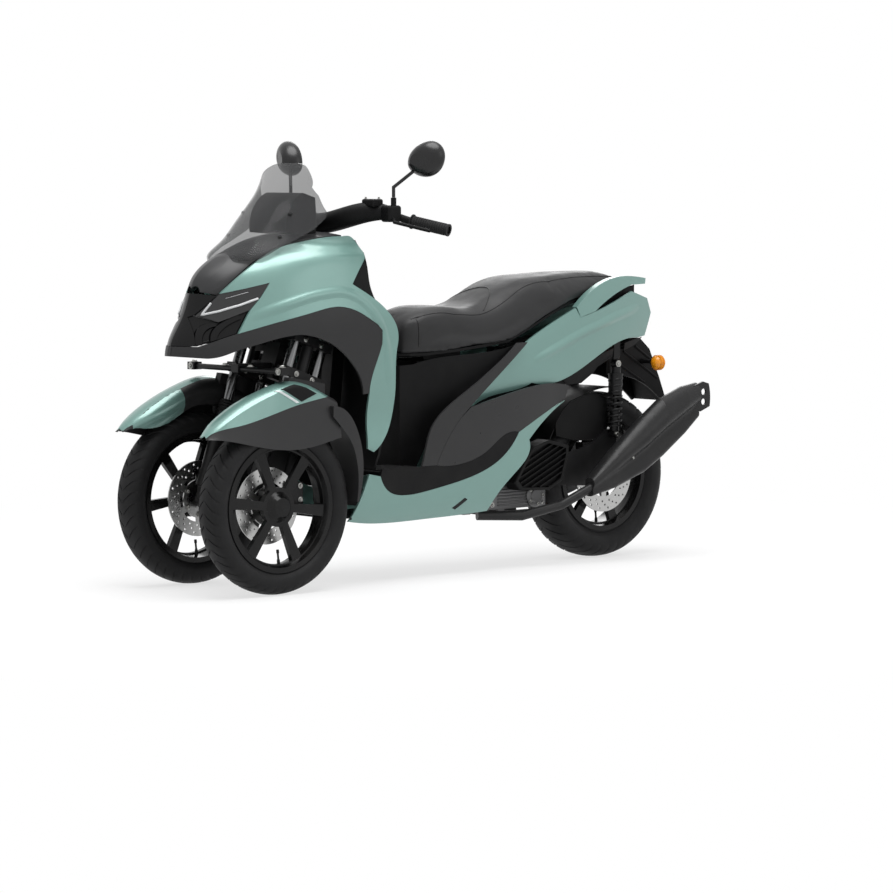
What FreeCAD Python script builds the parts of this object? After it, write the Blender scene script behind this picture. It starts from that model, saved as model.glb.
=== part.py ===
import FreeCAD, Part
import math
import os
import Sketcher

Vector = FreeCAD.Vector

# Driving sizes, millimetres and degrees. The trike faces -Y, its own left is +X,
# and distances "behind" are measured along +Y from the front axle.
SIZES = {
    # layout
    "front_axle_y": -735,
    "wheelbase": 1410,
    "track": 385,
    "rake": 20,
    "trail": 68,
    "kingpin_offset": 118,
    # front wheels
    "front_tyre_radius": 250,
    "front_tyre_width": 90,
    "front_rim_radius": 177.8,
    "front_rim_width": 58,
    "front_disc_radius": 110,
    # rear wheel
    "rear_tyre_radius": 256,
    "rear_tyre_width": 130,
    "rear_rim_radius": 165.1,
    "rear_rim_width": 90,
    "rear_disc_radius": 115,
    # parts shared by all wheels
    "bead_gap": 0.3,
    "flange_height": 9,
    "rim_wall": 6,
    "hub_radius": 36,
    "spoke_count": 6,
    "spoke_angle": 23.3,
    "disc_thick": 4,
    "spindle_radius": 10,
    "bearing_gap": 0.3,
    # front legs and steering, levels are measured along the steering axis
    "leg_spacing": 100,
    "leg_tube_radius": 15,
    "leg_case_radius": 21,
    "leg_case_top": 520,
    "leg_top": 775,
    "lower_yoke_level": 648,
    "upper_yoke_level": 752,
    "yoke_thick": 26,
    "kingpin_radius": 9,
    "arm_reach": 86,
    "tie_rod_radius": 6,
    "stem_radius": 12,
    "head_pipe_radius": 24,
    "head_pipe_bottom": 668,
    "head_pipe_top": 940,
    # frame
    "frame_tube_radius": 22,
    "rail_radius": 13,
    "rail_spacing": 220,
    "rail_height": 235,
    # bodywork
    "panel_thick": 7,
    "panel_gap": 0.8,
    "screen_thick": 4,
    "floor_height": 327,
    "floor_thick": 5,
    # seat and storage
    "seat_hinge_back": 575,
    "seat_hinge_height": 640,
    "box_wall": 3,
    "box_width": 190,
    "box_length": 310,
    "box_depth": 190,
    # rear
    "shock_spacing": 196,
    "shock_radius": 24,
    # handlebar
    "bar_width": 750,
    "bar_radius": 11,
    "grip_radius": 18,
    "grip_length": 125,
    # stands
    "stand_pivot_back": 955,
    "stand_pivot_height": 164,
    "stand_leg": 185,
    "side_stand_back": 640,
    "side_stand_leg": 190,
}


class Size:
    """A size as a number and as the text that binds it to the sheet."""

    def __init__(self, value, text):
        self.value = value
        self.text = text

    def join(self, other, sign, value, swap=False):
        text = other.text if isinstance(other, Size) else str(other)
        left, right = (text, self.text) if swap else (self.text, text)
        return Size(value, "(" + left + " " + sign + " " + right + ")")

    def __float__(self):
        return self.value

    def __add__(self, other):
        return self.join(other, "+", self.value + float(other))

    def __sub__(self, other):
        return self.join(other, "-", self.value - float(other))

    def __rsub__(self, other):
        return self.join(other, "-", float(other) - self.value, swap=True)

    def __mul__(self, other):
        return self.join(other, "*", self.value * float(other))

    def __truediv__(self, other):
        return self.join(other, "/", self.value / float(other))

    def __neg__(self):
        return Size(-self.value, "(0 - " + self.text + ")")

    __radd__ = __add__
    __rmul__ = __mul__


doc = FreeCAD.newDocument("ReverseTrike")
sheet = doc.addObject("Spreadsheet::Sheet", "Sizes")
for row, (name, value) in enumerate(SIZES.items(), start=1):
    sheet.set("A" + str(row), name)
    sheet.set("B" + str(row), str(value))
    sheet.setAlias("B" + str(row), name)
doc.recompute()


class Bound:
    """Sizes bound to the sheet, read as D.track."""

    def __getattr__(self, name):
        return Size(float(sheet.get(name)), "Sizes." + name)


class Plain:
    """The same sizes as plain numbers, read as V.track."""

    def __getattr__(self, name):
        return float(sheet.get(name))


D = Bound()
V = Plain()
nodes = []


def keep(obj, label):
    """Hand a finished object in as one named piece."""
    obj.Label = label
    nodes.append(obj)
    return obj


def bind(obj, field, size):
    obj.setExpression(field, size.text if isinstance(size, Size) else str(size))


def place(obj, x, y, z, axis=None, angle=0):
    """Put an object at a bound point, turned about an axis by an angle."""
    if axis is not None:
        turn = FreeCAD.Rotation(axis, float(angle))
        obj.Placement = FreeCAD.Placement(Vector(float(x), float(y), float(z)), turn)
        if isinstance(angle, Size):
            bind(obj, "Placement.Rotation.Angle", angle)
    for field, size in (("x", x), ("y", y), ("z", z)):
        bind(obj, "Placement.Base." + field, size)


def at(x, behind, z):
    """A point from its distance behind the front axle."""
    return Vector(float(x), V.front_axle_y + float(behind), float(z))


def feature(label, shape):
    """A piece whose form is computed from the sheet's sizes."""
    obj = doc.addObject("Part::Feature", label)
    obj.Shape = shape
    obj.Placement = FreeCAD.Placement()
    return keep(obj, label)


def mirrored(shape):
    return shape.mirror(Vector(0, 0, 0), Vector(1, 0, 0))


def both_sides(shape):
    """A piece and its mirror image, side by side in one node."""
    return Part.Compound(shape.Solids + mirrored(shape).Solids)


def fused(shapes):
    """One solid from shapes that overlap."""
    first = shapes[0]
    whole = first.fuse(shapes[1:]) if len(shapes) > 1 else first
    return whole.removeSplitter()


def bar(start, end, radius):
    """A round bar between two points."""
    run = end - start
    return Part.makeCylinder(radius, run.Length, start, run)


def block(low, high):
    """A box from its lowest and highest corners."""
    size = high - low
    return Part.makeBox(size.x, size.y, size.z, low)


def bent_bar(points, radius, square=False):
    """A bar along straight runs that meet in mitres, round or square in section."""
    path = Part.makePolygon(points)
    run = (points[1] - points[0]).normalize()
    if square:
        across = Vector(1, 0, 0) if abs(run.x) < 0.9 else Vector(0, 0, 1)
        up = run.cross(across).normalize() * radius
        across = up.cross(run)
        corners = [points[0] + up + across, points[0] + up - across,
                   points[0] - up - across, points[0] - up + across]
        section = Part.makePolygon(corners + corners[:1])
    else:
        section = Part.Wire(Part.makeCircle(radius, points[0], run))
    return path.makePipeShell([section], True, False, 1)


def plate(points, thick):
    """A flat plate that starts at a closed ring of points and is thick along X."""
    return Part.Face(Part.makePolygon(points + points[:1])).extrude(Vector(thick, 0, 0))


def pulled_in(points, inset):
    """A closed ring of (behind, height) corners moved inwards by one distance."""
    count = len(points)
    area = sum(points[i - 1][0] * points[i][1] - points[i][0] * points[i - 1][1]
               for i in range(count))
    inwards = math.copysign(inset, area)
    moved = []
    for i in range(count):
        (ax, ay), (bx, by), (cx, cy) = points[i - 1], points[i], points[(i + 1) % count]
        first = math.hypot(bx - ax, by - ay)
        second = math.hypot(cx - bx, cy - by)
        n1 = (-(by - ay) / first, (bx - ax) / first)
        n2 = (-(cy - by) / second, (cx - bx) / second)
        spread = max(1 + n1[0] * n2[0] + n1[1] * n2[1], 0.4)
        moved.append((bx + inwards * (n1[0] + n2[0]) / spread,
                      by + inwards * (n1[1] + n2[1]) / spread))
    return moved


def outline(runs, x=0.0, inset=0.0):
    """A flat face at one X from runs of (behind, height) points.

    Each run starts where the last one ended; a run of one point is straight and a
    longer one is a smooth curve.
    """
    ring = [point for run in runs for point in run]
    if inset:
        ring = pulled_in(ring, inset)
    edges = []
    start = ring[-1]
    for run in runs:
        own, ring = ring[:len(run)], ring[len(run):]
        points = [at(x, *p) for p in [start] + own]
        if len(points) == 2:
            edges.append(Part.LineSegment(*points).toShape())
        else:
            curve = Part.BSplineCurve()
            curve.interpolate(points)
            edges.append(curve.toShape())
        start = own[-1]
    return Part.Face(Part.Wire(edges))


def prism(runs, low, high, inset=0.0):
    """The solid between two X planes with a side-view outline."""
    return outline(runs, low, inset).extrude(Vector(high - low, 0, 0))


def skin(rows, thick):
    """A curved wall through rows of points, thickened towards the middle."""
    surface = Part.BSplineSurface()
    surface.interpolate(rows)
    return surface.toShape().extrude(Vector(-thick, 0, 0))


def blend(value, knots):
    """Straight-line interpolation in a list of (place, value) pairs."""
    if value <= knots[0][0]:
        return knots[0][1]
    for (a, fa), (b, fb) in zip(knots, knots[1:]):
        if value <= b:
            return fa + (fb - fa) * (value - a) / (b - a)
    return knots[-1][1]


# Wheels: revolved sections in sketches, with patterned openings


def plane_of(body, role):
    return [f for f in body.Origin.OriginFeatures if f.Role == role][0]


def bound_sketch(body, name, role, points, curved=()):
    """A closed sketch whose corners are bound to sizes.

    points are (across, along) pairs; an index in curved puts an arc from that corner
    to the next one but one, through the corner between them.
    """
    sketch = body.newObject("Sketcher::SketchObject", name)
    sketch.AttachmentSupport = [(plane_of(body, role), "")]
    sketch.MapMode = "FlatFace"
    flat = [Vector(float(a), float(b), 0) for a, b in points]
    ends = []
    index = 0
    while index < len(points):
        step = 2 if index in curved else 1
        last = (index + step) % len(points)
        if step == 2:
            arc = Part.Arc(flat[index], flat[index + 1], flat[last])
            edge = sketch.addGeometry(arc, False)
            through = sketch.addGeometry(Part.Point(flat[index + 1]), True)
            fix_point(sketch, through, 1, points[index + 1])
            constraint(sketch, "PointOnObject", through, 1, edge)
        else:
            edge = sketch.addGeometry(Part.LineSegment(flat[index], flat[last]), False)
        begin, end = sketch.getPoint(edge, 1), sketch.getPoint(edge, 2)
        swapped = (begin - flat[index]).Length > (end - flat[index]).Length
        ends.append((edge, 2 if swapped else 1, 1 if swapped else 2, points[index]))
        index += step
    for (edge, begin, end, corner), following in zip(ends, ends[1:] + ends[:1]):
        constraint(sketch, "Coincident", edge, end, following[0], following[1])
        fix_point(sketch, edge, begin, corner)
    return sketch


def constraint(sketch, *parts):
    return sketch.addConstraint(Sketcher.Constraint(*parts))


def fix_point(sketch, edge, end, corner):
    """Bind one point of a sketch to its two sizes."""
    for kind, size in zip(("DistanceX", "DistanceY"), corner):
        if abs(float(size)) < 1e-9:
            kind = "PointOnObject"
            line = -2 if size is corner[0] else -1
            constraint(sketch, kind, edge, end, line)
            continue
        index = constraint(sketch, kind, -1, 1, edge, end, float(size))
        if isinstance(size, Size):
            sketch.setExpression("Constraints[" + str(index) + "]", size.text)


def revolved_body(name, points, curved=()):
    """A body turned about its own X axis from a bound sketch."""
    body = doc.addObject("PartDesign::Body", name)
    sketch = bound_sketch(body, name + "Section", "XY_Plane", points, curved)
    sketch.Visibility = False
    turned = body.newObject("PartDesign::Revolution", name + "Turned")
    turned.Profile = sketch
    turned.ReferenceAxis = (plane_of(body, "X_Axis"), [""])
    turned.Angle = 360
    doc.recompute()
    return body


def patterned_window(body, name, points, curved, count):
    """Cut one window along X and repeat it round the axle."""
    sketch = bound_sketch(body, name + "Sketch", "YZ_Plane", points, curved)
    cut_round(body, name, sketch, count)


def patterned_holes(body, name, centre, radius, count):
    """Drill one round hole along X and repeat it round the axle."""
    sketch = body.newObject("Sketcher::SketchObject", name + "Sketch")
    sketch.AttachmentSupport = [(plane_of(body, "YZ_Plane"), "")]
    sketch.MapMode = "FlatFace"
    middle = Vector(float(centre[0]), float(centre[1]), 0)
    circle = sketch.addGeometry(Part.Circle(middle, Vector(0, 0, 1), radius), False)
    constraint(sketch, "Radius", circle, radius)
    fix_point(sketch, circle, 3, centre)
    cut_round(body, name, sketch, count)


def cut_round(body, name, sketch, count):
    """Cut a sketch's outline through the body along X, several times round the axle."""
    sketch.Visibility = False
    cut = body.newObject("PartDesign::Pocket", name + "Cut")
    cut.Profile = sketch
    cut.Type = 1
    cut.Midplane = True
    before = body.Shape.Volume
    doc.recompute()
    ring = body.newObject("PartDesign::PolarPattern", name + "Ring")
    ring.Originals = [cut]
    ring.Axis = (plane_of(body, "X_Axis"), [""])
    ring.Angle = 360
    bind(ring, "Occurrences", count)
    body.Tip = ring
    doc.recompute()
    if body.Shape.Volume >= before:
        raise ValueError(name + " cut nothing")


def polar(radius, angle):
    """A bound point at a radius and a fixed angle, in degrees, from the sketch's X."""
    turn = math.radians(angle)
    return radius * math.cos(turn), radius * math.sin(turn)


def tyre(name, radius, width, rim_radius, rim_width, x, y, z):
    """A tyre: beads inside the rim flanges, bulged side walls and a crowned tread."""
    bead = rim_width / 2 - D.bead_gap
    seat = rim_radius + D.bead_gap
    flange = rim_radius + D.flange_height + 3
    half = width / 2
    wall = radius - rim_radius
    right = [
        (bead, seat), (bead, flange), (half, rim_radius + wall * 0.52),
        (half * 0.86, radius - wall * 0.24), (half * 0.4, radius),
    ]
    left = [(-across, along) for across, along in reversed(right)]
    body = revolved_body(name, right + left)
    place(body, x, y, z)
    return keep(body, name)


def rim(name, radius, width, dish, capped):
    """A cast rim: a flanged barrel, a web with six windows and a bored hub."""
    half = width / 2
    flange = radius + D.flange_height
    inner = radius - D.rim_wall
    hub = D.hub_radius
    bore = D.spindle_radius + D.bearing_gap
    end = half + 1
    cap = [(end + 10, hub * 0.75), (end + 12, 0), (end, 0)] if capped else []
    points = [
        (-(half + 5), inner), (-(half + 5), flange), (-half, radius), (half, radius),
        (half + 5, flange), (half + 5, inner), (dish + 8, inner - 6),
        (dish + 8, hub + 8), (end, hub), *cap, (end, bore), (-end, bore),
        (-end, hub), (dish - 8, hub + 8), (dish - 8, inner - 6),
    ]
    body = revolved_body(name, points)
    near = hub + 20
    far = inner - 10
    turn = V.spoke_angle
    window = [
        polar(near, turn - 18), polar(near, turn), polar(near, turn + 18),
        polar(far, turn + 24), polar(far, turn), polar(far, turn - 24),
    ]
    patterned_window(body, name + "Window", window, (0, 3), D.spoke_count)
    return keep(body, name)


def disc(name, radius):
    """A brake disc: a drilled flat ring on six arms, bored to pass the axle."""
    inner = D.spindle_radius + 4
    face = D.disc_thick
    points = [(0, inner), (0, radius), (-face, radius), (-face, inner)]
    body = revolved_body(name, points)
    near = D.hub_radius + 20
    far = D.hub_radius + 32
    window = [
        polar(near, -20), polar(near, 0), polar(near, 20),
        polar(far, 22), polar(far, 0), polar(far, -22),
    ]
    patterned_window(body, name + "Window", window, (0, 3), D.spoke_count)
    for row, (inwards, angle) in enumerate(((10, 0), (21, 7), (32, 14))):
        hole = polar(radius - inwards, angle)
        patterned_holes(body, name + "Holes" + str(row), hole, 3.2, 3 * D.spoke_count)
    return keep(body, name)


front_x = D.track / 2
front_y = D.front_axle_y
rear_y = D.front_axle_y + D.wheelbase
disc_gap = D.front_rim_width / 2 + 1 + D.bead_gap
half_turn = (Vector(0, 0, 1), 180)
front_sizes = (D.front_tyre_radius, D.front_tyre_width, D.front_rim_radius, D.front_rim_width)
rear_sizes = (D.rear_tyre_radius, D.rear_tyre_width, D.rear_rim_radius, D.rear_rim_width)
front_at = (front_y, D.front_tyre_radius)
rear_at = (rear_y, D.rear_tyre_radius)

tyre("tyre_front_left", *front_sizes, front_x, *front_at)
tyre("tyre_front_right", *front_sizes, -front_x, *front_at)
tyre("tyre_rear", *rear_sizes, 0, *rear_at)
front_rim = front_sizes[2:] + (D.front_rim_width / 4, True)
rear_rim = rear_sizes[2:] + (D.rear_rim_width / 4, False)
place(rim("rim_front_left", *front_rim), front_x, *front_at)
place(rim("rim_front_right", *front_rim), -front_x, *front_at, *half_turn)
place(rim("rim_rear", *rear_rim), 0, *rear_at)
place(disc("disc_front_left", D.front_disc_radius), front_x - disc_gap, *front_at)
place(disc("disc_front_right", D.front_disc_radius), disc_gap - front_x, *front_at,
      *half_turn)
place(disc("disc_rear", D.rear_disc_radius), D.rear_rim_width / 2 + 1 + D.bead_gap,
      *rear_at, *half_turn)

# Front legs: everything here is drawn upright about one steering axis and then
# leaned back by the rake; levels run along the axis, +X is towards the wheel.

AXLE_BACK = V.trail * math.cos(math.radians(V.rake)) - V.front_tyre_radius * math.sin(
    math.radians(V.rake))
AXLE_LEVEL = V.trail * math.sin(math.radians(V.rake)) + V.front_tyre_radius * math.cos(
    math.radians(V.rake))
AXLE_OUT = V.track / 2 - V.kingpin_offset


def leaned(shape, x=0.0):
    """Lean a shape from an upright steering axis to its place at one X."""
    turn = FreeCAD.Rotation(Vector(1, 0, 0), -V.rake)
    place_at = FreeCAD.Placement(at(x, -V.trail, 0), turn)
    return shape.transformed(place_at.toMatrix(), copy=True)


def on_axis(level, x=0.0, behind=0.0):
    """The real point at a level on a steering axis."""
    lean = math.radians(V.rake)
    back = behind * math.cos(lean) + level * math.sin(lean)
    return at(x, back - V.trail, level * math.cos(lean) - behind * math.sin(lean))


def yoke(level, reach=0.0):
    """A clamp plate around both tubes and the kingpin, with an arm to the rear."""
    half = V.leg_spacing / 2
    low = level - V.yoke_thick / 2
    width = V.leg_tube_radius + 6
    end = half + width
    parts = [block(Vector(-width, -end, low), Vector(width, end, low + V.yoke_thick))]
    if reach:
        parts.append(block(Vector(-9, half, low), Vector(9, reach + 9, low + V.yoke_thick / 2)))
    return parts


def tie_stud(level):
    """The ball stud that hangs from an arm's end into the tie rod's eye."""
    low = level - V.yoke_thick / 2
    return Part.makeCylinder(4, 18, Vector(0, V.arm_reach, low - 17))


def fork_casting():
    """The cast lower leg: two cases, the web between them and the axle boss."""
    half = V.leg_spacing / 2
    case = V.leg_case_radius
    low = AXLE_LEVEL + 30
    parts = []
    for end in (-half, half):
        height = V.leg_case_top - low
        parts.append(Part.makeCylinder(case, height, Vector(0, end, low)))
    parts.append(block(Vector(-9, -half, low + 14), Vector(9, half, V.leg_case_top - 60)))
    web = [Vector(-14, AXLE_BACK - 28, AXLE_LEVEL), Vector(-14, -half - 18, low + 30),
           Vector(-14, half + 18, low + 30), Vector(-14, AXLE_BACK + 28, AXLE_LEVEL)]
    web.append(web[0])
    parts.append(Part.Face(Part.makePolygon(web)).extrude(Vector(28, 0, 0)))
    boss = Vector(-16, AXLE_BACK, AXLE_LEVEL)
    parts.append(Part.makeCylinder(28, 38, boss, Vector(1, 0, 0)))
    reach = AXLE_OUT + V.front_rim_width / 2
    parts.append(Part.makeCylinder(V.spindle_radius, reach, Vector(0, AXLE_BACK, AXLE_LEVEL),
                                   Vector(1, 0, 0)))
    return parts


def fork():
    """A leading-and-trailing pair of telescopic legs beside one front wheel."""
    half = V.leg_spacing / 2
    parts = fork_casting()
    for end in (-half, half):
        height = V.leg_top - V.leg_case_top + 40
        parts.append(Part.makeCylinder(V.leg_tube_radius, height,
                                       Vector(0, end, V.leg_case_top - 40)))
    parts += yoke(V.lower_yoke_level, V.arm_reach) + yoke(V.upper_yoke_level)
    pin = V.upper_yoke_level - V.lower_yoke_level
    parts.append(Part.makeCylinder(V.kingpin_radius, pin, Vector(0, 0, V.lower_yoke_level)))
    parts.append(tie_stud(V.lower_yoke_level))
    return fused(parts)


left_fork = leaned(fork(), V.kingpin_offset)
feature("fork_left", left_fork)
feature("fork_right", mirrored(left_fork))

# Front calipers: a bridge over the disc's rear edge, bolted to the fork casting
disc_inner = V.track / 2 - V.front_rim_width / 2 - 1 - V.bead_gap - V.disc_thick
front_caliper = block(at(V.kingpin_offset + 15, 62, V.front_tyre_radius - 8),
                      at(disc_inner + 14, 62 + 60, V.front_tyre_radius + 62))
reach = V.front_disc_radius + 3
slot = Part.makeCylinder(reach, V.disc_thick + 5, at(disc_inner - 2.5, 0, V.front_tyre_radius),
                         Vector(1, 0, 0))
front_caliper = front_caliper.cut(slot).cut(left_fork)
front_caliper = max(front_caliper.Solids, key=lambda solid: solid.Volume)
feature("caliper_left", front_caliper)
feature("caliper_right", mirrored(front_caliper))

# Front fenders: an arched shell over each wheel, and a darker skirt outside it


FENDER = [
    # behind, inner edge, crown height, shoulder, outer X, outer edge height
    (-252, 456, 462, 175, 222, 452),
    (-205, 462, 503, 160, 244, 448),
    (-125, 470, 549, 152, 252, 432),
    (-32, 514, 586, 153, 255, 416),
    (54, 519, 603, 153, 255, 414),
    (130, 500, 585, 153, 254, 425),
    (200, 470, 552, 153, 252, 440),
]


def fender_section(behind, inner_z, crown, inner_x, outer_x, outer_z, drop):
    """One arch across the fender, as points from its inner to its outer edge."""
    middle = (inner_x + outer_x) / 2
    width = outer_x - inner_x
    rise = crown - drop
    return [
        at(inner_x + drop, behind, inner_z),
        at(inner_x + drop + 3, behind, rise - width * 0.12),
        at(middle - width * 0.12, behind, rise),
        at(outer_x - width * 0.2 - drop, behind, rise - width * 0.15),
        at(outer_x - drop, behind, outer_z),
    ]


def fender_wire(row):
    outer = fender_section(*row, 0)
    inner = fender_section(*row, 4)
    inner.reverse()
    edges = []
    for points in (outer[:4], outer[3:], outer[4:] + inner[:1], inner[:2], inner[1:],
                   inner[4:] + outer[:1]):
        curve = Part.BSplineCurve()
        curve.interpolate(points)
        edges.append(curve.toShape())
    return Part.Wire(edges)


fender = Part.makeLoft([fender_wire(row) for row in FENDER], True, False)
mint_edge = [
    [(-252, 457), (-167, 486), (-52, 512), (49, 538), (152, 555), (190, 560)],
    [(190, 640)], [(-300, 640)], [(-300, 440)], [(-262, 440)],
]
mint_zone = prism(mint_edge, 166, 300)
fender_top = fender.common(mint_zone)
fender_rest = fender.cut(mint_zone)
flap_side = [
    [(210, 520), (262, 450), (280, 340), (263, 252)],
    [(256.5, 252)], [(262, 300), (258, 360), (236, 425), (200, 470), (170, 500)],
    [(170, 530)],
]
flap = prism(flap_side, 150, 252)
wedge = prism([[(62, 566)], [(76, 612)], [(205, 590)], [(205, 540)], [(150, 540)]], 146, 170)
stay_x = V.kingpin_offset + V.leg_case_radius + 0.3
stays = [block(at(stay_x, behind - 12, 498), at(152, behind + 12, 516)) for behind in (58, 164)]
fender_rest = fused(fender_rest.Solids + [flap, wedge.cut(fender_top)] + stays)
feature("fender_left", fender_top)
feature("fender_right", mirrored(fender_top))
feature("fender_skirt_left", fender_rest)
feature("fender_skirt_right", mirrored(fender_rest))

# Steering: the tie rod, the stem with its arm, and the handlebar

rod_level = V.lower_yoke_level - V.yoke_thick / 2 - 9
rod_end = V.kingpin_offset + 13
tie_rod = block(Vector(-rod_end, V.arm_reach - 9, rod_level - V.tie_rod_radius),
                Vector(rod_end, V.arm_reach + 9, rod_level + V.tie_rod_radius))
for x in (-V.kingpin_offset, 0, V.kingpin_offset):
    eye = Part.makeCylinder(4.5, 40, Vector(x, V.arm_reach, rod_level - 20))
    tie_rod = tie_rod.cut(eye)
tie_rod = leaned(tie_rod)
feature("tie_rod", tie_rod)

clamp_level = 1085
stem_low = V.lower_yoke_level - V.yoke_thick / 2
stem = [
    Part.makeCylinder(V.stem_radius, clamp_level - stem_low, Vector(0, 0, stem_low)),
    block(Vector(-14, -14, stem_low), Vector(14, V.arm_reach + 9, stem_low + V.yoke_thick / 2)),
    tie_stud(V.lower_yoke_level),
]
half_bar = V.bar_width / 2
bar_right = [
    at(0, 318, 1030), at(60, 322, 1034), at(150, 368, 1072), at(215, 412, 1072),
    at(262, 450, 1052), at(half_bar - 6, 497, 1028),
]
bar_left = [Vector(-p.x, p.y, p.z) for p in bar_right]
stem = [leaned(shape) for shape in stem]
stem.append(bent_bar(bar_right, V.bar_radius))
stem.append(bent_bar(bar_left, V.bar_radius))

grip_start = at(262, 450, 1052)
grip_end = at(half_bar - 6, 497, 1028)
grip_run = (grip_end - grip_start).normalize()
grip_room = (grip_end - grip_start).Length
grip = Part.makeCylinder(V.grip_radius, V.grip_length, grip_start + grip_run * 4, grip_run)
grip = grip.cut(Part.makeCylinder(V.bar_radius, grip_room + 1, grip_start, grip_run))
feature("grips", both_sides(grip))

# Body surfaces: half the body's width at a place, from its side-view position

NOSE = [(380, -225), (700, -225), (780, -178), (860, -146), (900, -128), (950, -60), (1030, 70)]
FRONT_WIDTH = [(380, 212), (500, 220), (700, 229), (780, 229), (860, 215), (920, 196),
               (960, 180), (1030, 154)]
NOSE_LENGTH = 300
TAIL_WIDTH = [(500, 120), (700, 148), (900, 163), (1100, 166), (1300, 152), (1450, 126),
              (1580, 92)]
SKIRT_WIDTH = [(250, 200), (400, 205), (700, 200), (900, 188), (1000, 176), (1180, 152)]


def front_half(share, height):
    """A point of the front body: share 0 is the nose, 1 is where it is full width."""
    nose = blend(height, NOSE)
    behind = nose + (NOSE_LENGTH - nose) * share * share
    reach = min(share * share, 1.0)
    return at(blend(height, FRONT_WIDTH) * (1 - (1 - reach) ** 2) ** 0.62, behind, height)


def tail_half(behind, height):
    """A point of the tail body, fullest along a crease that climbs to the rear."""
    crease = 600 + 0.3 * (behind - 774)
    return at(blend(behind, TAIL_WIDTH) - 0.0007 * (height - crease) ** 2, behind, height)


def skirt_half(behind, height):
    """A point of the lower sides, tucked in under the floor."""
    tuck = max(0.0, 260.0 - height)
    return at(blend(behind, SKIRT_WIDTH) - 0.005 * tuck * tuck, behind, height)


def front_skin(inset, thick):
    rows = []
    for height in (380, 460, 560, 660, 720, 780, 840, 900, 960, 1020):
        row = [front_half(share, height) for share in (0, 0.15, 0.3, 0.45, 0.6, 0.8, 1)]
        row += [at(blend(height, FRONT_WIDTH), behind, height) for behind in (370, 450)]
        rows.append([point - Vector(inset, 0, 0) for point in row])
    return skin(rows, thick)


def tail_skin(inset, thick):
    rows = [[tail_half(behind, height) - Vector(inset, 0, 0)
             for behind in (480, 640, 800, 960, 1120, 1280, 1440, 1590)]
            for height in (440, 540, 640, 740, 840, 900)]
    return skin(rows, thick)


def skirt_skin(inset, thick):
    rows = [[skirt_half(behind, height) - Vector(inset, 0, 0)
             for behind in (240, 380, 520, 660, 800, 940, 1060, 1190)]
            for height in (160, 210, 260, 400, 560, 720)]
    return skin(rows, thick)


def panel(wall, runs):
    """One body panel: the wall inside its side-view outline, less half a shut line."""
    cutter = prism(runs, -60, 320, V.panel_gap / 2)
    piece = wall.common(cutter)
    return max(piece.Solids, key=lambda solid: solid.Volume)


front_wall = front_skin(0, V.panel_thick)
tail_wall = tail_skin(0, V.panel_thick)
skirt_wall = skirt_skin(0, V.panel_thick)

# Frame: a leaned head pipe, one down tube and two rails under the floor to the tail

pipe_length = V.head_pipe_top - V.head_pipe_bottom
head_pipe = Part.makeCylinder(V.head_pipe_radius, pipe_length, Vector(0, 0, V.head_pipe_bottom))
side = V.rail_spacing / 2
down_tube = bent_bar([
    on_axis(V.head_pipe_top - 90), at(0, 382, 720), at(0, 366, 560), at(0, 350, 400),
    at(0, 350, 300), at(0, 405, V.rail_height),
], V.frame_tube_radius, True)
rail = bent_bar([
    at(side, 395, V.rail_height), at(side, 840, V.rail_height), at(side, 935, 310),
    at(side, 1010, 560), at(side - 8, 1130, 650), at(side - 14, 1400, 705),
], V.rail_radius, True)
rails = [rail, mirrored(rail)]
thick = V.rail_radius
cross = [block(at(-side, behind - thick, V.rail_height - thick),
               at(side, behind + thick, V.rail_height + thick)) for behind in (405, 600, 770)]
tail_reach = tail_half(1120, 642).x
cross.append(block(at(-tail_reach, 1120 - thick, 642 - thick),
                   at(tail_reach, 1120 + thick, 642 + thick)))
post_x = V.box_width / 2 - 2 - thick
ear_low = V.seat_hinge_height - 80
cross.append(block(at(-post_x, 600 - thick, ear_low - thick),
                   at(post_x, 600 + thick, ear_low + thick)))
posts = [block(at(x - thick, 600 - thick, V.rail_height), at(x + thick, 600 + thick, ear_low))
         for x in (-post_x, post_x)]
frame_parts = [leaned(head_pipe), down_tube] + rails + cross + posts
hinge = at(0, V.seat_hinge_back, V.seat_hinge_height)
for x in (-34, 28):
    ear = [at(x, 588, ear_low), at(x, 612, ear_low), at(x, V.seat_hinge_back + 8, V.seat_hinge_height + 8),
           at(x, V.seat_hinge_back - 8, V.seat_hinge_height + 8)]
    frame_parts.append(plate(ear, 6))
shock_x = V.shock_spacing / 2
for x in (-shock_x, shock_x):
    frame_parts.append(block(at(x - 5, 1402, 615.3), at(x + 5, 1428, 700)))
frame = fused(frame_parts)
frame = frame.cut(Part.makeCylinder(5.3, 100, hinge - Vector(50, 0, 0), Vector(1, 0, 0)))
stem_bore = Part.makeCylinder(V.stem_radius + V.bearing_gap, 500, Vector(0, 0, V.head_pipe_bottom - 60))
frame = frame.cut(leaned(stem_bore)).cut(tail_wall).cut(mirrored(tail_wall))
frame = max(frame.Solids, key=lambda solid: solid.Volume)
feature("frame", frame)

# Tilt linkage: pivot arms from the head pipe to the two kingpin housings, and the
# long front arm that ties the sides together ahead of them

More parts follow.
